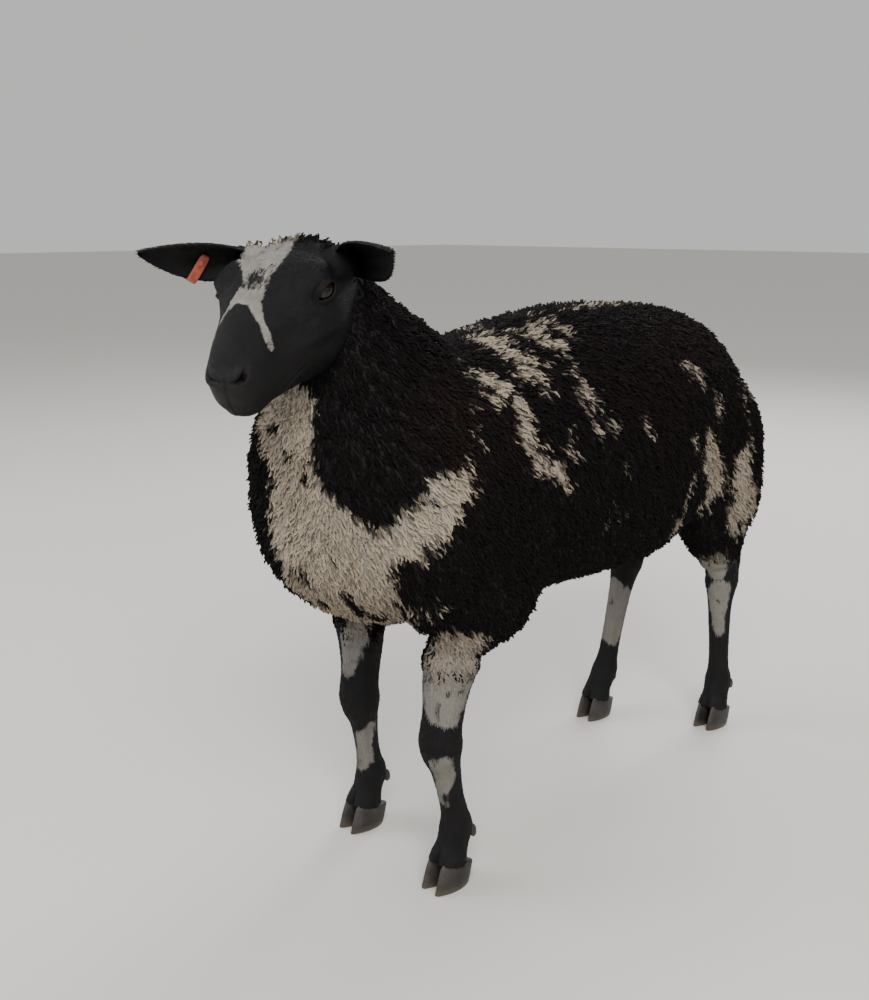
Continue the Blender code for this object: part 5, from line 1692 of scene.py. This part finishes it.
def horn_material():
    """Hoof horn, grown in rings about 2 mm apart and worn dull with use."""
    made, tree, shader = new_material("hoof_horn")
    place = add(tree, PLACE)["Object"]
    height = add(tree, PARTS, {"Vector": place})["Z"]
    wander = add(tree, NOISE, {"Scale": 45.0, "Detail": 3.0, "Vector": place})[0]
    drift = add(tree, MATHS, {0: wander, 1: 9.0}, operation="MULTIPLY")[0]
    phase = add(tree, MATHS, {0: height, 1: 2900.0, 2: drift}, operation="MULTIPLY_ADD")[0]
    rings = add(tree, MATHS, {0: phase}, operation="SINE")[0]
    level = add(tree, SPREAD, {0: wander, 1: 0.35, 2: 0.68})[0]
    base = add(tree, MIX, {0: level, 6: "#0f0d0c", 7: "#332c27"}, data_type="RGBA")[2]
    worn = add(tree, SPREAD, {0: height, 1: 0.0, 2: 0.010, 3: 0.5, 4: 0.0})[0]
    base = add(tree, MIX, {0: worn, 6: base, 7: "#665a4a"}, data_type="RGBA")[2]
    fine = add(tree, NOISE, {"Scale": 700.0, "Detail": 2.0, "Vector": place})[0]
    relief = add(tree, MATHS, {0: rings, 1: 0.5, 2: fine}, operation="MULTIPLY_ADD")[0]
    shape = add(tree, BUMP, {"Strength": 0.5, "Distance": 0.0005, "Height": relief})[0]
    tree.links.new(base, shader.inputs["Base Color"])
    tree.links.new(shape, shader.inputs["Normal"])
    shader.inputs["Roughness"].default_value = 0.55
    shader.inputs["IOR"].default_value = 1.54
    return made


def eye_material():
    """A sheep's eye under its wet cornea: dark brown iris, wide level pupil, black rim."""
    made, tree, shader = new_material("wet_eye")
    gaze = add(tree, ATTRIBUTE, attribute_name="gaze")["Vector"]
    parts = add(tree, PARTS, {"Vector": gaze})
    shapes = []
    # the pupil is 11 mm by 4.6 mm, the iris 18 mm by 16 mm
    for wide, tall, power in ((0.0055, 0.0023, 4.0), (0.0092, 0.0080, 2.0)):
        terms = []
        for axis, half in (("Y", wide), ("Z", tall)):
            term = add(tree, MATHS, {0: parts[axis], 1: half}, operation="DIVIDE")[0]
            term = add(tree, MATHS, {0: term}, operation="ABSOLUTE")[0]
            terms.append(add(tree, MATHS, {0: term, 1: power}, operation="POWER")[0])
        both = add(tree, MATHS, {0: terms[0], 1: terms[1]}, operation="ADD")[0]
        shapes.append(add(tree, SPREAD, {0: both, 1: 0.80, 2: 1.15})[0])
    streaks = add(tree, NOISE, {"Scale": 900.0, "Detail": 3.0, "Vector": gaze})[0]
    level = add(tree, SPREAD, {0: streaks, 1: 0.35, 2: 0.65})[0]
    iris = add(tree, MIX, {0: level, 6: "#120b06", 7: "#2a1a0d"}, data_type="RGBA")[2]
    base = add(tree, MIX, {0: shapes[0], 6: "#020202", 7: iris}, data_type="RGBA")[2]
    base = add(tree, MIX, {0: shapes[1], 6: base, 7: "#0a0706"}, data_type="RGBA")[2]
    tree.links.new(base, shader.inputs["Base Color"])
    shader.inputs["Roughness"].default_value = 0.06
    shader.inputs["IOR"].default_value = 1.38
    return made


def tag_material(values):
    """Polyurethane strap tag, moulded in salmon, matt, scuffed and a little dirty."""
    made, tree, shader = new_material("moulded_polyurethane")
    place = add(tree, PLACE)["Object"]
    dirt = add(tree, NOISE, {"Scale": 160.0, "Detail": 4.0, "Vector": place})[0]
    dirt = add(tree, SPREAD, {0: dirt, 1: 0.42, 2: 0.72})[0]
    base = add(tree, MIX, {0: dirt, 6: tinted(values.tag_colour, 1.0),
                           7: tinted(values.tag_colour, 0.42)}, data_type="RGBA")[2]
    fine = add(tree, NOISE, {"Scale": 1400.0, "Detail": 2.0, "Vector": place})[0]
    shape = add(tree, BUMP, {"Strength": 0.25, "Distance": 0.0002, "Height": fine})[0]
    tree.links.new(base, shader.inputs["Base Color"])
    tree.links.new(shape, shader.inputs["Normal"])
    shader.inputs["Roughness"].default_value = 0.5
    shader.inputs["IOR"].default_value = 1.5
    return made


def floor_material():
    """Pale matt floor."""
    made, _, shader = new_material("pale_floor")
    shader.inputs["Base Color"].default_value = colour("#d6d3ce")
    shader.inputs["Roughness"].default_value = 0.9
    return made


def eyeball(side):
    """Make one eyeball with its cornea standing a little proud, and store where it looks."""
    bm = ball((EYE_RADIUS,) * 3, 48, 32)
    for vert in bm.verts:
        swell = exp(-((vert.co.y / 0.0085) ** 2) - (vert.co.z / 0.0075) ** 2)
        if vert.co.x > 0:
            vert.co.x += 0.0002 * swell
    made = object_from(bm, "eye_form")
    put_attribute(made.data, "gaze", points_of(made.data), "FLOAT_VECTOR")
    made.data.transform(eye_matrix(side))
    made.data.shade_smooth()
    return made


def claw_outline(step, count, grow):
    """Return one point of a claw's outline: flat inside, curved outside, pointed toe."""
    turn = 2.0 * pi * step / count
    x = cos(turn) * CLAW_WIDTH * 0.5
    y = sin(turn)
    toe = CLAW_LENGTH * 0.58 if y < 0 else CLAW_LENGTH * 0.42
    narrow = 1.0 - 0.35 * max(-y, 0.0) ** 2
    x = x * narrow + CLAW_WIDTH * 0.5
    return min(max(x, 0.0), CLAW_WIDTH) * grow, y * toe * grow


def hoof(leg_name, side):
    """Make one claw: its wall sloped, its edges rounded, its crown under the hair."""
    foot_x, foot_y = FEET[leg_name]
    rings = []
    for share, grow, lead in CLAW_ROWS:
        points = []
        for step in range(CLAW_POINTS):
            x, y = claw_outline(step, CLAW_POINTS, grow)
            x += CLAW_WIDTH * (1.0 - grow) * 0.35
            y -= lead + 0.012
            top = HOOF_HEIGHT - HOOF_SLOPE * y
            points.append(Vector((foot_x + side * (x + CLEFT / 2), foot_y + y, share * top)))
        rings.append(points)
    made = object_from(loft(rings), "claw_form")
    made.data.shade_smooth()
    return made


def dewclaws(leg_name):
    """Make the two small horn claws behind the fetlock."""
    foot_x, foot_y = FEET[leg_name]
    shells = []
    for side in (-1.0, 1.0):
        bm = ball((0.0050, 0.0060, 0.0095), 24, 16)
        for vert in bm.verts:
            if vert.co.z < 0:
                vert.co.y += 0.22 * -vert.co.z
        bm.transform(Matrix.Translation((foot_x + side * 0.011, foot_y + 0.018, 0.067)))
        shells.append(object_from(bm, "dewclaw"))
    made = joined(shells, "dewclaws")
    made.data.shade_smooth()
    return made


def tag_matrix():
    """Return the tag's placing: +Y runs down the strap, +Z faces out of the ear's cup."""
    width, cup = ear_section(TAG_PLACE)[:2]
    bow = EAR_BOW * sin(pi * TAG_PLACE)
    high = Vector((0.0, 0.12 * width + bow, -cup))
    low = Vector((0.0, 0.93 * width + bow, 0.0))
    down = (low - high).normalized()
    across = X_AXIS
    turn = Matrix((across, down, across.cross(down))).transposed().to_4x4()
    start = high + Vector((EAR_LENGTH * TAG_PLACE, 0.0, 0.0))
    return ear_matrix(-1.0) @ Matrix.Translation(start) @ turn @ Matrix.Rotation(-TAG_TILT, 4, "Z")


def tag_strap():
    """Make the folded strap and the stud that holds its two leaves through the ear."""
    wide, thick, long = TAG_SIZE
    front = thick / 2 + 0.0036
    back = -TAG_DEPTH
    reach = long / 2 - 0.002
    low, high = reach + long / 2 - thick / 2, reach - long / 2
    straight = low - TAG_BEND
    path = [(high + (straight - high) * k / 8, front) for k in range(9)]
    for k in range(1, 12):
        turn = pi * k / 12
        middle = (front + back) / 2 + (front - back) / 2 * cos(turn)
        path.append((straight + TAG_BEND * sin(turn), middle))
    path += [(straight + (high - low + TAG_BEND) * k / 8, back) for k in range(9)]
    rings = []
    count = len(path)
    for i, (y, z) in enumerate(path):
        a, b = path[max(i - 1, 0)], path[min(i + 1, count - 1)]
        along = Vector((0.0, b[0] - a[0], b[1] - a[1])).normalized()
        out = X_AXIS.cross(along)
        ends = min(i, count - 1 - i)
        narrow = (0.72, 0.93, 1.0)[min(ends, 2)]
        rings.append(ring(Vector((0.0, y, z)), X_AXIS, out,
                          wide / 2 * narrow, thick / 2, thick / 2, 5.0, 24))
    shells = [object_from(loft(rings), "strap")]
    heads = thick * 0.75
    for z, radius, depth in ((front + heads, 0.0034, 0.0012), (back - heads, 0.0030, 0.0012),
                             ((front + back) / 2, 0.0020, front - back)):
        bm = bmesh.new()
        bmesh.ops.create_cone(bm, cap_ends=True, segments=32, depth=depth,
                              radius1=radius, radius2=radius * 0.9)
        bm.transform(Matrix.Translation((0.0, TAG_HOLD, z)))
        shells.append(object_from(bm, "stud"))
    made = joined(shells, "ear_tag_strap")
    made.data.transform(tag_matrix())
    made.data.shade_smooth()
    return made


def named_object(item, name, material, *nodes, slot=None):
    """Name a finished piece, paint it, move it into the frame and let it stand for its nodes."""
    item.name = name
    item.data.name = name
    item.data.materials.clear()
    item.data.materials.append(material)
    item.data.transform(Matrix.Translation(FRAME_SHIFT))
    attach(item, "root")
    if nodes:
        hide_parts(*nodes)
    return item


FLESH = ["torso", "neck", "tail", "head", "thigh_left", "thigh_right", "foreleg_left", "foreleg_right",
         "hindleg_left", "hindleg_right", "ear_left", "ear_right"]


class SpottedSheepSettings(bpy.types.PropertyGroup):
    """Sizes and colours of the sheep's coat, tag and stage."""

    lock_spacing: FloatProperty(
        name="Lock spacing", description="How far apart the wool locks root",
        default=0.0029, min=0.002, unit="LENGTH")
    lock_length: FloatProperty(
        name="Lock length", description="Length of a full wool lock",
        default=0.0125, min=0.002, unit="LENGTH")
    lock_width: FloatProperty(
        name="Lock width", description="Half width of a wool lock",
        default=0.00122, min=0.0004, unit="LENGTH")
    staple_width: FloatProperty(
        name="Staple width", description="How wide a bunch of locks is",
        default=0.015, min=0.004, unit="LENGTH")
    hair_length: FloatProperty(
        name="Hair length", description="Length of a short tuft",
        default=0.0048, min=0.001, unit="LENGTH")
    coat_seed: IntProperty(name="Coat seed", description="Seed of the coat's variation", default=41)
    black_wool: FloatVectorProperty(
        name="Black wool", description="Colour of the black wool",
        default=colour("#0d0a0a")[:3], subtype="COLOR")
    bleached_wool: FloatVectorProperty(
        name="Bleached wool", description="Black wool where the sun has browned it",
        default=colour("#23130e")[:3], subtype="COLOR")
    white_wool: FloatVectorProperty(
        name="White wool", description="Colour of the white wool",
        default=colour("#a19685")[:3], subtype="COLOR")
    black_hair: FloatVectorProperty(
        name="Black hair", description="Colour of the short black hair",
        default=colour("#0d0c0d")[:3], subtype="COLOR")
    white_hair: FloatVectorProperty(
        name="White hair", description="Colour of the short white hair",
        default=colour("#9d9992")[:3], subtype="COLOR")
    tag_colour: FloatVectorProperty(
        name="Tag colour", description="Colour of the ear tag",
        default=colour("#a5503f")[:3], subtype="COLOR")
    floor_size: FloatProperty(
        name="Floor size", description="Side of the floor", default=60.0, unit="LENGTH")
    key_colour: FloatVectorProperty(
        name="Key light colour", description="Colour of the main light",
        default=(1.0, 0.975, 0.94), subtype="COLOR")


class SHEEP_OT_skin(bpy.types.Operator):
    """Make the skin over body, head, ears and legs"""

    bl_idname = "sheep.skin"
    bl_label = "Skin"

    def execute(self, context):
        skin = make_skin()
        named_object(skin, "skin", hide_material(sheep(context)), *FLESH, slot="face_black")
        return {"FINISHED"}


class SHEEP_OT_fleece(bpy.types.Operator):
    """Set the curled wool locks on body and poll"""

    bl_idname = "sheep.fleece"
    bl_label = "Fleece"

    def execute(self, context):
        values = sheep(context)
        skin = bpy.data.objects["skin"]
        tree = coat_tree()
        # widths, bend and curl are in half widths of the lock
        locks = lock_collection("wool_lock", LOCK_RINGS, 1.0, 2.6, 1.5)
        settings = {
            "Locks": locks, "Material": fleece_material(values), "Spacing": values.lock_spacing,
            "Length": values.lock_length, "Width": values.lock_width, "Lay": 1.30, "Stray": 0.52,
            "Gather": 1.10, "Staple": values.staple_width, "Hollow": 0.42, "Cover Name": "cover",
            "Length Name": "length", "Region Name": "region", "Seed": values.coat_seed,
        }
        for name, number in PIECE_CODES.items():
            item = coat_piece(skin, tree, "wool_" + name, dict(settings, Region=number))
            poll = name == "poll"
            dye_locks(item.data, LOCK_RINGS, "poll" if poll else "body", values.coat_seed + number,
                      0.0 if poll else SKIN_DEPTH)
            finish_coat(item, WOOL_SOFTNESS, lambda root: unwrap(root, name))
        clear_locks(locks)
        return {"FINISHED"}


class SHEEP_OT_short_hair(bpy.types.Operator):
    """Set short flat tufts on face, ears and legs"""

    bl_idname = "sheep.short_hair"
    bl_label = "Short hair"

    def execute(self, context):
        values = sheep(context)
        skin = bpy.data.objects["skin"]
        tree = bpy.data.node_groups["coat_locks"]
        locks = lock_collection("hair_tuft", HAIR_RINGS, 1.0, 1.4, 0.3)
        settings = {
            "Locks": locks, "Material": bpy.data.materials["short_haired_hide"],
            "Length": values.hair_length, "Width": HAIR_WIDTH, "Lay": 3.0, "Stray": 0.45,
            "Gather": 0.25, "Staple": 0.009, "Hollow": 0.2, "Cover Name": "short",
            "Length Name": "hair", "Region Name": "part", "Seed": values.coat_seed + 1,
        }
        for name, spacing in HAIR_SPACINGS.items():
            given = dict(settings, Region=PART_CODES[name], Spacing=spacing)
            item = coat_piece(skin, tree, "hair_" + name, given)
            dye_locks(item.data, HAIR_RINGS, name, values.coat_seed + 70, 0.0)
            finish_coat(item, HAIR_SOFTNESS, lambda root: unwrap_hair(root, name))
        clear_locks(locks)
        return {"FINISHED"}


def unwrap_hair(co, name):
    """Lay the skin of head, ears or legs out flat, each limb in its own field."""
    x, y, z = co.T
    if name == "leg":
        made = np.zeros((len(co), 2))
        for k, (foot_x, foot_y) in enumerate(FEET.values()):
            mine = (np.sign(x) == np.sign(foot_x)) & (np.sign(y) == np.sign(foot_y))
            lean = list(LEAN.values())[k] * clipped((z - LEAN_START) / LEAN_SPAN)
            turn = turn_share(x - foot_x, y - foot_y - lean + 0.012)
            made[mine] = np.stack([0.25 * k + 0.02 + 0.21 * turn, z / 0.36], 1)[mine]
        return made
    if name == "ear":
        made = np.zeros((len(co), 2))
        for k, side in enumerate((-1.0, 1.0)):
            local = in_axes(co, ear_matrix(side))
            mine = np.linalg.norm(co - np.array(ear_matrix(side).translation), axis=1) < 0.130
            turn = turn_share(local[:, 1], local[:, 2] + 0.006)
            made[mine] = np.stack([0.5 * k + 0.02 + 0.44 * turn, local[:, 0] / 0.14 + 0.15], 1)[mine]
        return made
    local = head_places(co)
    turn = turn_share(local[:, 0], local[:, 2] + 0.02)
    return np.stack([turn, local[:, 1] / -0.28 + 0.20], 1)


class SHEEP_OT_eyes(bpy.types.Operator):
    """Make both eyes"""

    bl_idname = "sheep.eyes"
    bl_label = "Eyes"

    def execute(self, context):
        material = eye_material()
        for name, side in SIGN.items():
            named_object(eyeball(side), "eyeball_" + name, material, "eye_" + name, slot="eye_dark")
        return {"FINISHED"}


class SHEEP_OT_hooves(bpy.types.Operator):
    """Make the claws and dewclaws of all four feet"""

    bl_idname = "sheep.hooves"
    bl_label = "Hooves"

    def execute(self, context):
        material = horn_material()
        for name in FEET:
            out = SIGN[name.split("_")[1]]
            for place, sign in (("inner", -out), ("outer", out)):
                claw = "%s_%s" % (name, place)
                named_object(hoof(name, sign), "hoof_" + claw, material, "claw_" + claw,
                             slot="hoof_horn")
            named_object(dewclaws(name), "dewclaws_" + name, material, slot="hoof_horn")
        return {"FINISHED"}


class SHEEP_OT_tag(bpy.types.Operator):
    """Make the strap tag in the right ear"""

    bl_idname = "sheep.tag"
    bl_label = "Ear tag"

    def execute(self, context):
        material = tag_material(sheep(context))
        named_object(tag_strap(), "ear_tag_strap", material, "ear_tag", slot="tag_salmon")
        return {"FINISHED"}


def area_light(name, place, aim, size, power, tint):
    """Add one soft square light."""
    data = bpy.data.lights.new(name, "AREA")
    data.shape = "SQUARE"
    data.size = size
    data.energy = power
    data.color = tint
    made = placed_object(name, data)
    made.location = place
    made.rotation_euler = (Vector(aim) - Vector(place)).to_track_quat("-Z", "Y").to_euler()


class SHEEP_OT_stage(bpy.types.Operator):
    """Set the floor, the lights and the camera"""

    bl_idname = "sheep.stage"
    bl_label = "Stage"

    def execute(self, context):
        values = sheep(context)
        bm = bmesh.new()
        bmesh.ops.create_grid(bm, x_segments=1, y_segments=1, size=values.floor_size / 2)
        mesh = bpy.data.meshes.new("floor")
        bm.to_mesh(mesh)
        bm.free()
        floor = placed_object("floor", mesh)
        floor.location.z = FLOOR_DROP
        floor.data.materials.append(floor_material())
        world = bpy.data.worlds.new("studio")
        world.use_nodes = True
        backdrop = world.node_tree.nodes["Background"]
        backdrop.inputs[0].default_value = colour("#e9e9e8")
        backdrop.inputs[1].default_value = 0.75
        context.scene.world = world
        area_light("key", (2.6, -2.2, 3.2), (0.0, -0.1, 0.45), 2.2, 190.0, values.key_colour)
        area_light("fill", (-2.8, -2.4, 2.2), (0.0, -0.1, 0.5), 2.6, 70.0, (0.94, 0.97, 1.0))
        area_light("rim", (-0.8, 3.2, 3.0), (0.0, 0.1, 0.5), 2.0, 110.0, (1.0, 1.0, 1.0))
        camera = bpy.data.cameras.new("camera")
        camera.lens = CAMERA_LENS
        camera.sensor_width = SENSOR_WIDTH
        camera.clip_end = 100.0
        made = placed_object("camera", camera)
        above = CAMERA_RIGHT.cross(CAMERA_AHEAD)
        turn = Matrix((CAMERA_RIGHT, above, -CAMERA_AHEAD)).transposed().to_4x4()
        made.matrix_world = Matrix.Translation(CAMERA_PLACE + FRAME_SHIFT) @ turn
        context.scene.camera = made
        return {"FINISHED"}


class SHEEP_PT_panel(bpy.types.Panel):
    """List the sheep's sizes and steps"""

    bl_label = "Spotted sheep"
    bl_idname = "SHEEP_PT_panel"
    bl_space_type = "VIEW_3D"
    bl_region_type = "UI"
    bl_category = "Sheep"

    def draw(self, context):
        for name in SpottedSheepSettings.__annotations__:
            self.layout.prop(sheep(context), name)
        for step in STEPS:
            self.layout.operator(step.bl_idname)


STEPS = (SHEEP_OT_skin, SHEEP_OT_fleece, SHEEP_OT_short_hair, SHEEP_OT_eyes, SHEEP_OT_hooves,
         SHEEP_OT_tag, SHEEP_OT_stage)
CLASSES = (SpottedSheepSettings,) + STEPS + (SHEEP_PT_panel,)


def register():
    """Register the classes and the settings."""
    for item in CLASSES:
        bpy.utils.register_class(item)
    bpy.types.Scene.spotted_sheep = PointerProperty(type=SpottedSheepSettings)


def unregister():
    """Remove the settings and the classes."""
    del bpy.types.Scene.spotted_sheep
    for item in reversed(CLASSES):
        bpy.utils.unregister_class(item)


def main():
    """Build every piece and the stage."""
    register()
    bpy.ops.sheep.stage()
    bpy.ops.sheep.skin()
    bpy.ops.sheep.fleece()
    bpy.ops.sheep.short_hair()
    bpy.ops.sheep.eyes()
    bpy.ops.sheep.hooves()
    bpy.ops.sheep.tag()


if __name__ == "__main__":
    main()
